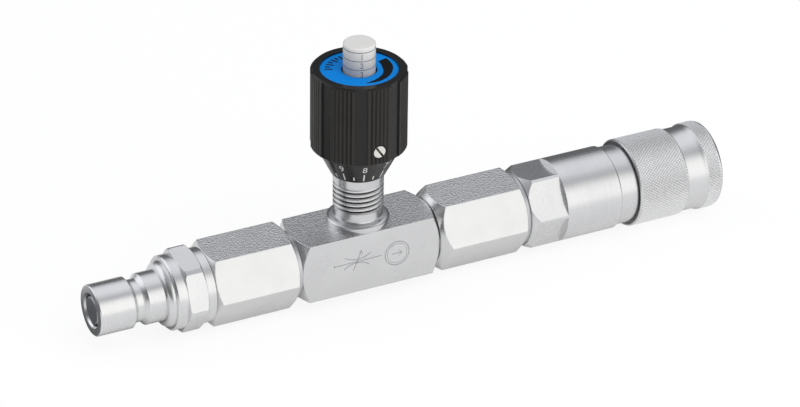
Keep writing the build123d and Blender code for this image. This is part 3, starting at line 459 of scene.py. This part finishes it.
# Painted shade in the thread's roots, fading out up its flanks.
paint_low_shade(thread_metal, spindle_axis, off_upright, neck_r - thread_depth, neck_r - 0.15,
           (0.035, 0.034, 0.034))
bonnet_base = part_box("bonnet")[0].z / mm
bonnet_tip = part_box("bonnet")[1].z / mm
spindle_bore_r = 5.05
spigot_r = 7.95
seat_z = 12.5
collar_r = 12.5
collar_top = 15.2
collar_edge = [(1.2, 0.0), (0.7, 0.15), (0.3, 0.55), (0.1, 1.1), (0.0, 1.8)]
neck_root_r = 9.2
core_r = 8.6
band_top = 34.4
journal_r = 8.0
snap_groove = (40.45, 41.55)
snap_groove_r = 7.45
thread_bore_r = 6.0
thread_bore_start = 33.0
relief_r = 6.3
relief_start = 24.5
bonnet_turned = turned_piece("bonnet_turned", [
    (bonnet_base, spindle_bore_r), (bonnet_base, spigot_r), (seat_z, spigot_r), (seat_z, collar_r),
    *[(collar_top - down, collar_r - inward) for down, inward in collar_edge],
    (collar_top, neck_root_r + 0.6), (collar_top + 0.15, neck_root_r + 0.2),
    (collar_top + 0.6, neck_root_r), (thread_bottom - 0.9, neck_root_r), (thread_bottom, neck_r),
    (thread_bottom, core_r), (thread_top, core_r), (thread_top, neck_r), (band_top - 0.3, neck_r),
    (band_top, neck_r - 0.3),
    (band_top, journal_r), (snap_groove[0], journal_r), (snap_groove[0], snap_groove_r),
    (snap_groove[1], snap_groove_r), (snap_groove[1], journal_r), (bonnet_tip - 0.4, journal_r),
    (bonnet_tip, journal_r - 0.4), (bonnet_tip, thread_bore_r), (thread_bore_start, thread_bore_r),
    (thread_bore_start, relief_r), (relief_start, relief_r), (relief_start, spindle_bore_r),
], neck_metal, upright=True)
bonnet_thread = grown_piece("bonnet_thread", make_thread(), {
    "Crest Radius": neck_r * mm, "Depth": thread_depth * mm, "Pitch": thread_pitch * mm,
    "Bottom": thread_bottom * mm, "Length": (thread_top - thread_bottom) * mm, "Axis X": spindle_x,
    "Around": 145, "Rows": 200, "Material": thread_metal,
})
for piece in (bonnet_turned, bonnet_thread):
    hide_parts("bonnet")
    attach(piece, "valve")


# Spindle group: a turned steel needle, which is screwed up and down in the bonnet's thread and ends
# in a hexagon shank. A turned brass hub inside the knob drives the shank, and a sprung steel ring
# holds the hub on the bonnet's journal.

finish_nodes(neck_metal, "spindle")
hub_brass = metal("hub_brass", (0.80, 0.62, 0.30), (0.62, 0.45, 0.20), 0.3,
                  rings=0.00025, ring_depth=0.000005, upright=True)
finish_nodes(hub_brass, "driver")
spring_metal = metal("spring_metal", (0.50, 0.51, 0.53), (0.34, 0.35, 0.37), 0.35,
                     grain=0.0004, grain_depth=0.00001)
finish_nodes(spring_metal, "snap_ring", "plug_guide_ring", "stop_ring")


# Indicator cap: a milky plastic cap pushed on the spindle. Fine rings round it, one for each turn
# of the knob, carry plain numbers between them, printed in grey.

cap_low, cap_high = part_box("indicator_cap")
cap_r = (cap_high.x - cap_low.x) / 2 / mm
cap_top = cap_high.z / mm
# Painted shade: the cap's colour darkens towards its foot, fading in from 1 mm under its top to 12.5 mm
# under it.
cap_shade_low = (cap_top - 12.5) * mm
cap_shade_high = (cap_top - 1.0) * mm
cap_foot_shade = (0.52, 0.50, 0.455)
cap_plastic = soft_material("cap_plastic", (0.88, 0.865, 0.835), (0.80, 0.785, 0.755), 0.32,
                            grain=0.0008, depth=0.000004)
cap_tree = cap_plastic.node_tree
cap_surface = cap_tree.nodes["Principled BSDF"]
cap_surface.inputs["Subsurface Weight"].default_value = 0.35
cap_surface.inputs["Subsurface Radius"].default_value = (1.0, 1.0, 1.0)
cap_surface.inputs["Subsurface Scale"].default_value = 0.003
cap_z = parts_of(cap_tree, place_of(cap_tree))["Z"]
cap_unshaded = ramp(cap_tree, cap_z, cap_shade_low, cap_shade_high)
cap_own = cap_surface.inputs["Base Color"].links[0].from_socket
cap_tree.links.new(blend(cap_tree, cap_unshaded, cap_foot_shade, cap_own), cap_surface.inputs["Base Color"])
finish_nodes(cap_plastic, "indicator_cap")


def text_shape(body, size):
    """Flat letters or figures in millimetres, as triangles of points, centred on the origin."""
    curve = bpy.data.curves.new(body, "FONT")
    curve.body = body
    curve.size = size
    curve.align_x = "CENTER"
    curve.resolution_u = 4
    holder = add_object(body, curve)
    mesh = bpy.data.meshes.new_from_object(holder.evaluated_get(bpy.context.evaluated_depsgraph_get()))
    bpy.data.objects.remove(holder)
    return mesh


def print_text(shape, body, size, place, width_share=0.8):
    """Adds figures to a mesh in making, each point laid on a surface by place(x, y)."""
    mesh = text_shape(body, size)
    middle = max(v.co.y for v in mesh.vertices) / 2
    made = [shape.verts.new(place(v.co.x * width_share, v.co.y - middle)) for v in mesh.vertices]
    for polygon in mesh.polygons:
        shape.faces.new([made[index] for index in polygon.vertices])


def printed_piece(name, shape, material):
    """The finished piece of a print, with its faces turned outwards."""
    bmesh.ops.recalc_face_normals(shape, faces=shape.faces)
    return finished_piece(name, shape, material)


def round_spindle(turn, radius, z):
    """A point at a radius in millimetres, a turn in degrees and a height round the spindle's axis."""
    return (spindle_x + radius * mm * cos(radians(turn)), radius * mm * sin(radians(turn)), z * mm)


cap_ink = soft_material("cap_ink", (0.20, 0.21, 0.23), (0.13, 0.14, 0.16), 0.5,
                        grain=0.0003, depth=0.000002, edge=0.00002)
view_turn = 242.6
print_lift = 0.03
cap_print_r = cap_r + print_lift
cap_lines = 3
ring_pitch = 3.7
first_ring = 1.65
ring_width = 0.3
ring_steps = 96
cap_figure_size = 3.6
cap_figure_turn = view_turn + 10
cap_columns = 3
cap_print = bmesh.new()
for line in range(cap_lines):
    line_z = cap_top - first_ring - line * ring_pitch
    below, above = [], []
    for step in range(ring_steps):
        turn = 360 * step / ring_steps
        below.append(cap_print.verts.new(round_spindle(turn, cap_print_r, line_z - ring_width / 2)))
        above.append(cap_print.verts.new(round_spindle(turn, cap_print_r, line_z + ring_width / 2)))
    for step in range(ring_steps):
        after = (step + 1) % ring_steps
        cap_print.faces.new((below[step], below[after], above[after], above[step]))
for column in range(cap_columns):
    for line in range(cap_lines):
        middle_z = cap_top - first_ring - (line + 0.5) * ring_pitch
        middle_turn = cap_figure_turn + column * 360 / cap_columns
        print_text(cap_print, str(line + 1), cap_figure_size, lambda x, y: round_spindle(
            middle_turn + degrees(x / cap_r), cap_print_r, middle_z + y))
indicator_print = printed_piece("indicator_print", cap_print, cap_ink)
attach(indicator_print, "spindle")


# Hand knob: moulded in matt black plastic, with ribs and finger grooves, clamped on the hub by a
# slotted steel set screw. White numbers and strokes are printed round its skirt, ten to a turn.

knob_low, knob_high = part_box("knob")
skirt_top_z = 46.1
rim_height = 1.2
rim_z = knob_high.z / mm - rim_height
rib_foot_r = 18.4
rib_crest_r = 18.9
knob_plastic = soft_material("knob_plastic", (0.023, 0.020, 0.016), (0.017, 0.015, 0.012), 0.36,
                             grain=0.0004, depth=0.00002, edge=0.0005)
# Painted shade: darker between the ribs, in the finger grooves and on all of the knob inside the ribs'
# foot.
paint_low_shade(knob_plastic, spindle_axis, off_upright, rib_foot_r, rib_crest_r, (0.009, 0.0085, 0.0075))
knob_tree = knob_plastic.node_tree
knob_z = parts_of(knob_tree, place_of(knob_tree))["Z"]
ribs_middle = (skirt_top_z + rim_z) / 2 * mm
ribs_half = (rim_z - skirt_top_z) / 2 * mm
polish_edge = 0.3 * mm
polished_roughness = 0.13
from_middle = math_node(knob_tree, "ABSOLUTE", math_node(knob_tree, "SUBTRACT", knob_z, ribs_middle))
polished = ramp(knob_tree, from_middle, ribs_half, ribs_half + polish_edge)
knob_surface = knob_tree.nodes["Principled BSDF"]
knob_surface.inputs["Specular IOR Level"].default_value = 0.38
knob_own = knob_surface.inputs["Roughness"].links[0].from_socket
knob_gloss = add_node(knob_tree, "ShaderNodeMix", {"Factor": polished, 2: knob_own, 3: polished_roughness},
                      data_type="FLOAT")
knob_tree.links.new(knob_gloss.outputs["Result"], knob_surface.inputs["Roughness"])
finish_nodes(knob_plastic, "knob")

slot_floor_r = 17.9
screw_face_r = 18.5
screw_metal = metal("screw_metal", (0.92, 0.90, 0.84), (0.78, 0.76, 0.70), 0.3,
                    grain=0.0005, grain_depth=0.00003, edge=0.0004)
# Painted shade in the screw's slot, and on what lies deeper than its face.
paint_low_shade(screw_metal, spindle_axis, off_upright, slot_floor_r, screw_face_r, (0.10, 0.09, 0.07))
finish_nodes(screw_metal, "set_screw")

skirt_bottom_r = 11.1
skirt_bottom_z = knob_low.z / mm
skirt_top_r = 16.8
skirt_length = hypot(skirt_top_r - skirt_bottom_r, skirt_top_z - skirt_bottom_z)
skirt_print_drop = print_lift * 0.6


def on_skirt(turn, along, aside=0.0):
    """A point of the skirt's print: along from its lower edge, aside from a turn, both in millimetres."""
    share = along / skirt_length
    radius = skirt_bottom_r + (skirt_top_r - skirt_bottom_r) * share
    z = skirt_bottom_z + (skirt_top_z - skirt_bottom_z) * share - skirt_print_drop
    return round_spindle(turn + degrees(aside / radius), radius + print_lift, z)


white_print = soft_material("white_print", (0.82, 0.82, 0.80), (0.66, 0.66, 0.64), 0.5,
                            grain=0.0003, depth=0.000002, edge=0.00002)
numbers = 10
front_number = 8
front_number_turn = 253.5
long_stroke = (1.1, 5.2)
short_stroke = (1.4, 3.5)
half_stroke = 0.26
figure_size = 5.0
figure_along = 8.3
skirt_print = bmesh.new()
for count in range(2 * numbers):
    turn = front_number_turn - count * 180 / numbers
    start, end = long_stroke if count % 2 == 0 else short_stroke
    corners = [on_skirt(turn, start, -half_stroke), on_skirt(turn, start, half_stroke),
               on_skirt(turn, end, half_stroke), on_skirt(turn, end, -half_stroke)]
    skirt_print.faces.new([skirt_print.verts.new(corner) for corner in corners])
    if count % 2 == 0:
        figure = str((front_number + count // 2) % numbers)
        print_text(skirt_print, figure, figure_size, lambda x, y: on_skirt(turn, figure_along + y, x))
knob_print = printed_piece("knob_print", skirt_print, white_print)
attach(knob_print, "knob")


# Label: a blue printed foil, glued in the recess on top of the knob. A black wedge that widens in
# the opening direction lies on it, with a plain row of strokes on the other side.

label_shine = 0.12
label_blue = soft_material("label_blue", (0.0, 0.27, 0.84), (0.0, 0.24, 0.76), 0.5,
                           grain=0.0008, depth=0.000002)
finish_nodes(label_blue, "knob_label")
label_ink = soft_material("label_ink", (0.007, 0.007, 0.008), (0.005, 0.005, 0.006), 0.5,
                          grain=0.0005, depth=0.000002, edge=0.00002)
for material in (label_blue, label_ink):
    material.node_tree.nodes["Principled BSDF"].inputs["Specular IOR Level"].default_value = label_shine
label_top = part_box("knob_label")[1].z / mm + print_lift

# Each row: degrees from the side that faces the camera, and the wedge's inner and outer radius there.
wedge = [(12, 11.6, 11.8), (27, 10.8, 12.2), (42, 10.2, 12.5), (60, 9.8, 12.6),
         (83, 9.4, 12.8), (99, 9.0, 13.2), (115, 9.3, 13.6), (134, 9.9, 14.1)]
wedge_steps = 6
label_print = bmesh.new()
previous = None
for near, far in zip(wedge, wedge[1:]):
    for step in range(wedge_steps + 1):
        onward, inner_r, outer_r = (a + (b - a) * step / wedge_steps for a, b in zip(near, far))
        pair = [label_print.verts.new(round_spindle(view_turn + onward, inner_r, label_top)),
                label_print.verts.new(round_spindle(view_turn + onward, outer_r, label_top))]
        if previous and step:
            label_print.faces.new((previous[0], previous[1], pair[1], pair[0]))
        previous = pair

strokes = 8
first_stroke = view_turn - 88
stroke_step = 9
stroke_r = 13.4
long_reach = 10.2
short_reach = 11.4
outer_half = 1.9
inner_half = outer_half * 1.25
for stroke in range(strokes):
    turn = first_stroke - stroke_step * stroke
    reach = long_reach if stroke % 2 == 0 else short_reach
    corners = [round_spindle(turn - outer_half, stroke_r, label_top),
               round_spindle(turn + outer_half, stroke_r, label_top),
               round_spindle(turn + inner_half, reach, label_top),
               round_spindle(turn - inner_half, reach, label_top)]
    label_print.faces.new([label_print.verts.new(corner) for corner in corners])
label_marks = printed_piece("label_marks", label_print, label_ink)
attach(label_marks, "knob")


# Coupling plug: turned from steel bar, plated, and screwed on its adapter. A steel poppet with a
# rubber seal closes its nose. The poppet's coil spring rests on a turned guide, which a sprung ring
# holds in the bore.

turned_plating = metal("turned_plating", (0.81, 0.81, 0.81), (0.75, 0.75, 0.75), 0.27,
                       rings=0.00035, ring_depth=0.0000015, edge=0.0003)
finish_nodes(turned_plating, "plug_body", "plug_guide", "socket_guide")
poppet_metal = metal("poppet_metal", (0.50, 0.50, 0.52), (0.38, 0.38, 0.40), 0.32,
                     rings=0.0004, ring_depth=0.000008, edge=0.0004)
finish_nodes(poppet_metal, "plug_poppet", "socket_poppet")


def live_spring(name):
    """A copy of a CAD spring's coil, in spring metal, which stands in for the hidden CAD spring."""
    mesh = nodes[name].data.copy()
    mesh.materials.clear()
    mesh.materials.append(spring_metal)
    coil = add_object(name + "_coil", mesh)
    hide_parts(name)
    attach(coil, "valve")
    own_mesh(coil)


live_spring("plug_spring")


# Coupling socket: a barrel with spanner flats and a front body, both turned from steel bar and
# plated. They are screwed together and clamp the guide of the poppet's stem between them. A rubber
# seal and a hard white plastic ring lie in the front body and seal the nose of a plug.

barrel_plating = metal("barrel_plating", (0.79, 0.79, 0.79), (0.71, 0.71, 0.715), 0.28,
                       rings=0.00045, ring_depth=0.0000015, edge=0.0003)
finish_nodes(barrel_plating, "socket_barrel", "socket_front")
ring_white = soft_material("ring_white", (0.86, 0.86, 0.84), (0.78, 0.78, 0.76), 0.45,
                           grain=0.0004, depth=0.000004)
finish_nodes(ring_white, "backup_ring")
live_spring("socket_spring")


# Locking sleeve: turned steel with two bands of diamond knurl and a polished groove between them.
# It slides on the front body against a coil spring, and lets a ring of hardened balls move out as
# it is drawn back.

ball_count = 8
ball_steel = metal("ball_steel", (0.84, 0.84, 0.86), (0.78, 0.78, 0.80), 0.08, grain=0.001)
finish_nodes(ball_steel, *[f"ball_{number + 1}" for number in range(ball_count)])

sleeve_low, sleeve_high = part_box("lock_sleeve")
sleeve_left = sleeve_low.x / mm
sleeve_right = sleeve_high.x / mm
sleeve_r = sleeve_high.z / mm
knurl_depth = 0.3
knurl_root_r = sleeve_r - knurl_depth
rear_start = sleeve_left + 0.9
rear_shoulder = sleeve_left + 22.5
rear_end = rear_shoulder - 0.3
groove_r = sleeve_r - 0.9
front_start = rear_shoulder + 9.3
front_end = sleeve_right - 1.3
lip_r = 17.2
lip_end = sleeve_left + 2.0
spring_bore_r = 16.2
land_start = sleeve_left + 17.4
land_r = 14.1
ramp_start = 260.44
ramp_end = 266.04
recess_r = 15.44
stop_shoulder = 267.99
stop_bore_r = 16.4
rear_edge = [(0.0, 0.55), (0.15, 0.2), (0.45, 0.03), (0.75, 0.1)]
front_edge = [(0.9, 0.25), (0.4, 0.5), (0.1, 0.85), (0.0, 1.2)]
sleeve_turned = turned_piece("sleeve_turned", [
    (sleeve_left, lip_r), *[(sleeve_left + along, sleeve_r - below) for along, below in rear_edge],
    (rear_start, knurl_root_r), (rear_end, knurl_root_r), (rear_shoulder, sleeve_r - 0.5),
    (rear_shoulder, groove_r), (front_start - 1.8, groove_r), (front_start - 0.9, groove_r + 0.3),
    (front_start - 0.1, knurl_root_r), (front_end, knurl_root_r),
    *[(sleeve_right - along, sleeve_r - below) for along, below in front_edge],
    (sleeve_right, stop_bore_r), (stop_shoulder, stop_bore_r), (stop_shoulder, recess_r),
    (ramp_end, recess_r), (ramp_start, land_r), (land_start, land_r), (land_start, spring_bore_r),
    (lip_end, spring_bore_r), (lip_end, lip_r),
], turned_plating)
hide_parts("lock_sleeve")
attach(sleeve_turned, "lock_sleeve")


def make_knurl():
    """Rows of small pyramids round the flow axis, each row half a pitch on from the last."""
    tree, given, result = named_tree("diamond_knurl", "GeometryNodeTree", [
        ("Start", "NodeSocketFloat", 0.0), ("Row Step", "NodeSocketFloat", 0.0008),
        ("Rows", "NodeSocketInt", 20), ("Around", "NodeSocketInt", 90),
        ("Root Radius", "NodeSocketFloat", 0.0177), ("Depth", "NodeSocketFloat", 0.0003),
        ("Half Width", "NodeSocketFloat", 0.0006), ("Material", "NodeSocketMaterial", None),
    ], [("Geometry", "NodeSocketGeometry")])
    blunt_tip = 0.12
    total = math_node(tree, "MULTIPLY", given["Rows"], given["Around"])
    points = add_node(tree, "GeometryNodePoints", {"Count": total})
    index = tree.nodes.new("GeometryNodeInputIndex").outputs[0]
    rows_done = math_node(tree, "DIVIDE", math_node(tree, "ADD", index, 0.5), given["Around"])
    row = math_node(tree, "FLOOR", rows_done)
    place = math_node(tree, "SUBTRACT", index, math_node(tree, "MULTIPLY", row, given["Around"]))
    half = math_node(tree, "MULTIPLY", math_node(tree, "MODULO", row, 2.0), 0.5)
    share = math_node(tree, "DIVIDE", math_node(tree, "ADD", place, half), given["Around"])
    turn = math_node(tree, "MULTIPLY", share, tau)
    where = add_node(tree, "ShaderNodeCombineXYZ", {
        "X": math_node(tree, "MULTIPLY_ADD", row, given["Row Step"], given["Start"]),
        "Y": math_node(tree, "MULTIPLY", math_node(tree, "SINE", turn),
                       math_node(tree, "MULTIPLY", given["Root Radius"], -1.0)),
        "Z": math_node(tree, "MULTIPLY", math_node(tree, "COSINE", turn), given["Root Radius"]),
    })
    placed = add_node(tree, "GeometryNodeSetPosition", {
        "Geometry": points.outputs[0], "Position": where.outputs[0],
    })
    pyramid = add_node(tree, "GeometryNodeMeshCone", {
        "Vertices": 4, "Side Segments": 1, "Radius Top": blunt_tip, "Radius Bottom": 1.0, "Depth": 1.0,
    }, fill_type="NGON")
    size = add_node(tree, "ShaderNodeCombineXYZ", {
        "X": given["Row Step"], "Y": given["Half Width"], "Z": given["Depth"],
    })
    sized = add_node(tree, "GeometryNodeTransform", {
        "Geometry": pyramid.outputs["Mesh"], "Scale": size.outputs[0],
    })
    facing = add_node(tree, "ShaderNodeCombineXYZ", {"X": turn})
    spread = add_node(tree, "GeometryNodeInstanceOnPoints", {
        "Points": placed.outputs[0], "Instance": sized.outputs[0], "Rotation": facing.outputs[0],
    })
    real = add_node(tree, "GeometryNodeRealizeInstances", {"Geometry": spread.outputs[0]})
    done = add_node(tree, "GeometryNodeSetMaterial", {
        "Geometry": real.outputs[0], "Material": given["Material"],
    })
    tree.links.new(done.outputs[0], result["Geometry"])
    return tree


knurl_steel = metal("knurl_steel", (0.96, 0.96, 0.95), (0.88, 0.88, 0.88), 0.38,
                    grain=0.0008, edge=0.00005, metallic=0.85)
# Painted shade in the knurl's roots, between its pyramids.
paint_low_shade(knurl_steel, (0, 0, 0), (0, 1, 1), knurl_root_r - 0.06, knurl_root_r + 0.12, (0.58, 0.58, 0.59))
knurl_around = 92
knurl_pitch = tau * knurl_root_r / knurl_around
knurl_sink = 0.005
row_step = 0.78
knurl_tree = make_knurl()
for name, start, end in (("knurl_rear", rear_start, rear_end), ("knurl_front", front_start, front_end)):
    first_row = start + row_step / 2
    band = grown_piece(name, knurl_tree, {
        "Start": first_row * mm, "Row Step": row_step * mm, "Rows": int((end - first_row) / row_step) + 1,
        "Around": knurl_around, "Root Radius": (knurl_root_r - knurl_sink) * mm, "Depth": knurl_depth * mm,
        "Half Width": knurl_pitch / 2 * mm, "Material": knurl_steel,
    })
    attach(band, "lock_sleeve")
live_spring("sleeve_spring")


# Studio: a pale floor and room, which the camera sees as white. The metal mirrors a bright wall in
# front, a dimmer ceiling, a window behind on the left, and a floor that is dark behind the valve.
# Two soft lamps in front and overhead, which the metal doesn't mirror, light the knob and the cap.

floor_z = sleeve_low.z - 0.0001
floor_size = 6.0
bpy.ops.mesh.primitive_plane_add(size=floor_size, location=(spindle_x, 0, floor_z))
floor = bpy.context.object
floor.name = "floor"
floor_paint, floor_tree = empty_material("floor_paint")
floor_surface = floor_tree.nodes["Principled BSDF"]
floor_surface.inputs["Roughness"].default_value = 0.9
pale_floor = (0.88, 0.88, 0.88)
dark_floor = (0.15, 0.15, 0.155)
glow_strength = 1.06
seen_glow = 0.56
mirrored_glow = 0.26
floor_spot = parts_of(floor_tree, place_of(floor_tree))
floor_back = ramp(floor_tree, floor_spot["Y"], start=-0.012, end=0.01, eased=True)
floor_far = ramp(floor_tree, floor_spot["Y"], start=0.035, end=0.06, eased=True)
floor_left = ramp(floor_tree, floor_spot["X"], start=0.02, end=-0.02, eased=True)
floor_lit = math_node(floor_tree, "SUBTRACT", 1.0, math_node(floor_tree, "MULTIPLY", floor_far, floor_left))
floor_back = math_node(floor_tree, "MULTIPLY", floor_back, floor_lit)
floor_seen = floor_tree.nodes.new("ShaderNodeLightPath").outputs["Is Camera Ray"]
floor_unseen = math_node(floor_tree, "SUBTRACT", 1.0, floor_seen)
floor_dark = math_node(floor_tree, "MULTIPLY", floor_back, floor_unseen)
floor_tone = blend(floor_tree, floor_dark, pale_floor, dark_floor)
floor_tree.links.new(floor_tone, floor_surface.inputs["Base Color"])
floor_light = add_node(floor_tree, "ShaderNodeEmission", {
    "Color": (1, 1, 1, 1), "Strength": glow_strength,
})
floor_bright = math_node(floor_tree, "SUBTRACT", 1.0, floor_dark)
floor_glow = math_node(floor_tree, "MULTIPLY", floor_bright, mirrored_glow)
floor_share = math_node(floor_tree, "MULTIPLY_ADD", floor_seen, seen_glow, floor_glow)
floor_mix = add_node(floor_tree, "ShaderNodeMixShader", {
    0: floor_share, 1: floor_surface.outputs[0], 2: floor_light.outputs[0],
})
floor_tree.links.new(floor_mix.outputs[0], floor_tree.nodes["Material Output"].inputs["Surface"])
floor.data.materials.append(floor_paint)

world = bpy.data.worlds.new("room")
bpy.context.scene.world = world
world.use_nodes = True
room = world.node_tree
heading = room.nodes.new("ShaderNodeTexCoord").outputs["Generated"]


def room_share(direction, edge, full):
    """How deep a heading lies in the part of the room round a direction: 0 at its edge, 1 where full."""
    along = add_node(room, "ShaderNodeVectorMath", {0: heading, 1: direction}, operation="DOT_PRODUCT")
    return ramp(room, along.outputs["Value"], edge, full, eased=True)


wall_light = 0.12
overhead_light = 0.28
ceiling_light = 0.5
window_light = 1.0
front_colour = (1.18, 1.18, 1.17)
room_tint = (0.985, 1.0, 1.05)
front_share = room_share((0.29, -0.93, 0.22), edge=0.62, full=0.92)
high_share = room_share((0, 0, 1), edge=0.40, full=0.76)
ceiling_share = room_share((0.32, 0.42, 0.85), edge=0.6, full=0.97)
window_share = room_share((-0.72, 0.60, 0.34), edge=0.80, full=0.96)
ceiling = math_node(room, "MULTIPLY_ADD", ceiling_share, ceiling_light, overhead_light)
shade = math_node(room, "MULTIPLY_ADD", high_share, ceiling, wall_light)
shade = math_node(room, "MULTIPLY_ADD", window_share, window_light, shade)
dim_side = add_node(room, "ShaderNodeVectorMath", {0: room_tint, "Scale": shade}, operation="SCALE")
seen = room.nodes.new("ShaderNodeLightPath").outputs["Is Camera Ray"]
room_colour = blend(room, front_share, dim_side.outputs[0], front_colour)
room.links.new(blend(room, seen, room_colour, (1, 1, 1)), room.nodes["Background"].inputs["Color"])
room.nodes["Background"].inputs["Strength"].default_value = 1.0


lamp_aim = Vector((spindle_x, 0, 0.02))


def soft_lamp(name, direction, distance, size, power):
    """A soft lamp that faces the valve from a direction. Metal shows the room, and not the lamp."""
    lamp = bpy.data.lights.new(name, "AREA")
    lamp.shape = "RECTANGLE"
    lamp.size, lamp.size_y = size
    lamp.energy = power
    holder = add_object(name, lamp)
    away = Vector(direction).normalized()
    holder.location = lamp_aim + away * distance
    holder.rotation_mode = "QUATERNION"
    holder.rotation_quaternion = away.to_track_quat("Z", "Y")
    holder.visible_glossy = False


soft_lamp("front_lamp", (0.35, -0.88, 0.4), distance=1.3, size=(0.9, 0.6), power=2.2)
soft_lamp("fill_lamp", (0.1, -0.5, 0.85), distance=1.3, size=(1.0, 0.8), power=4.2)


# Camera: stands in front of the valve, to its left and above it, and looks through a long lens. Its
# turn, tilt, roll and distance, and the pixel where the spindle's axis crosses the flow axis, were
# fitted to the ends and edges of the turned pieces.

camera_turn = radians(27.373)
camera_tilt = radians(29.407)
camera_roll = radians(0.828)
camera_reach = 1.6006
photo_width = 800
photo_height = 407
lens_pixels = 4062.84
axis_pixel = (357.7, 246.1)
camera = add_object("camera", bpy.data.cameras.new("camera"))
bpy.context.scene.camera = camera
camera.data.sensor_width = 36.0
camera.data.lens = camera.data.sensor_width * lens_pixels / photo_width
camera.data.clip_start = 0.1
camera.data.clip_end = 20.0
level = Vector((cos(camera_turn), -sin(camera_turn), 0))
inward = Vector((sin(camera_turn), cos(camera_turn), 0))
ahead = inward * cos(camera_tilt) - Vector((0, 0, sin(camera_tilt)))
upward = level.cross(ahead)
sight_right = level * cos(camera_roll) + upward * sin(camera_roll)
sight_up = upward * cos(camera_roll) - level * sin(camera_roll)
shift_right = (axis_pixel[0] - photo_width / 2) * camera_reach / lens_pixels
shift_up = (photo_height / 2 - axis_pixel[1]) * camera_reach / lens_pixels
stand = Vector(spindle_axis) - sight_right * shift_right - sight_up * shift_up - ahead * camera_reach
facing = Matrix((sight_right, sight_up, -ahead)).transposed().to_4x4()
camera.matrix_world = Matrix.Translation(stand) @ facing
bpy.context.scene.view_settings.view_transform = "Standard"
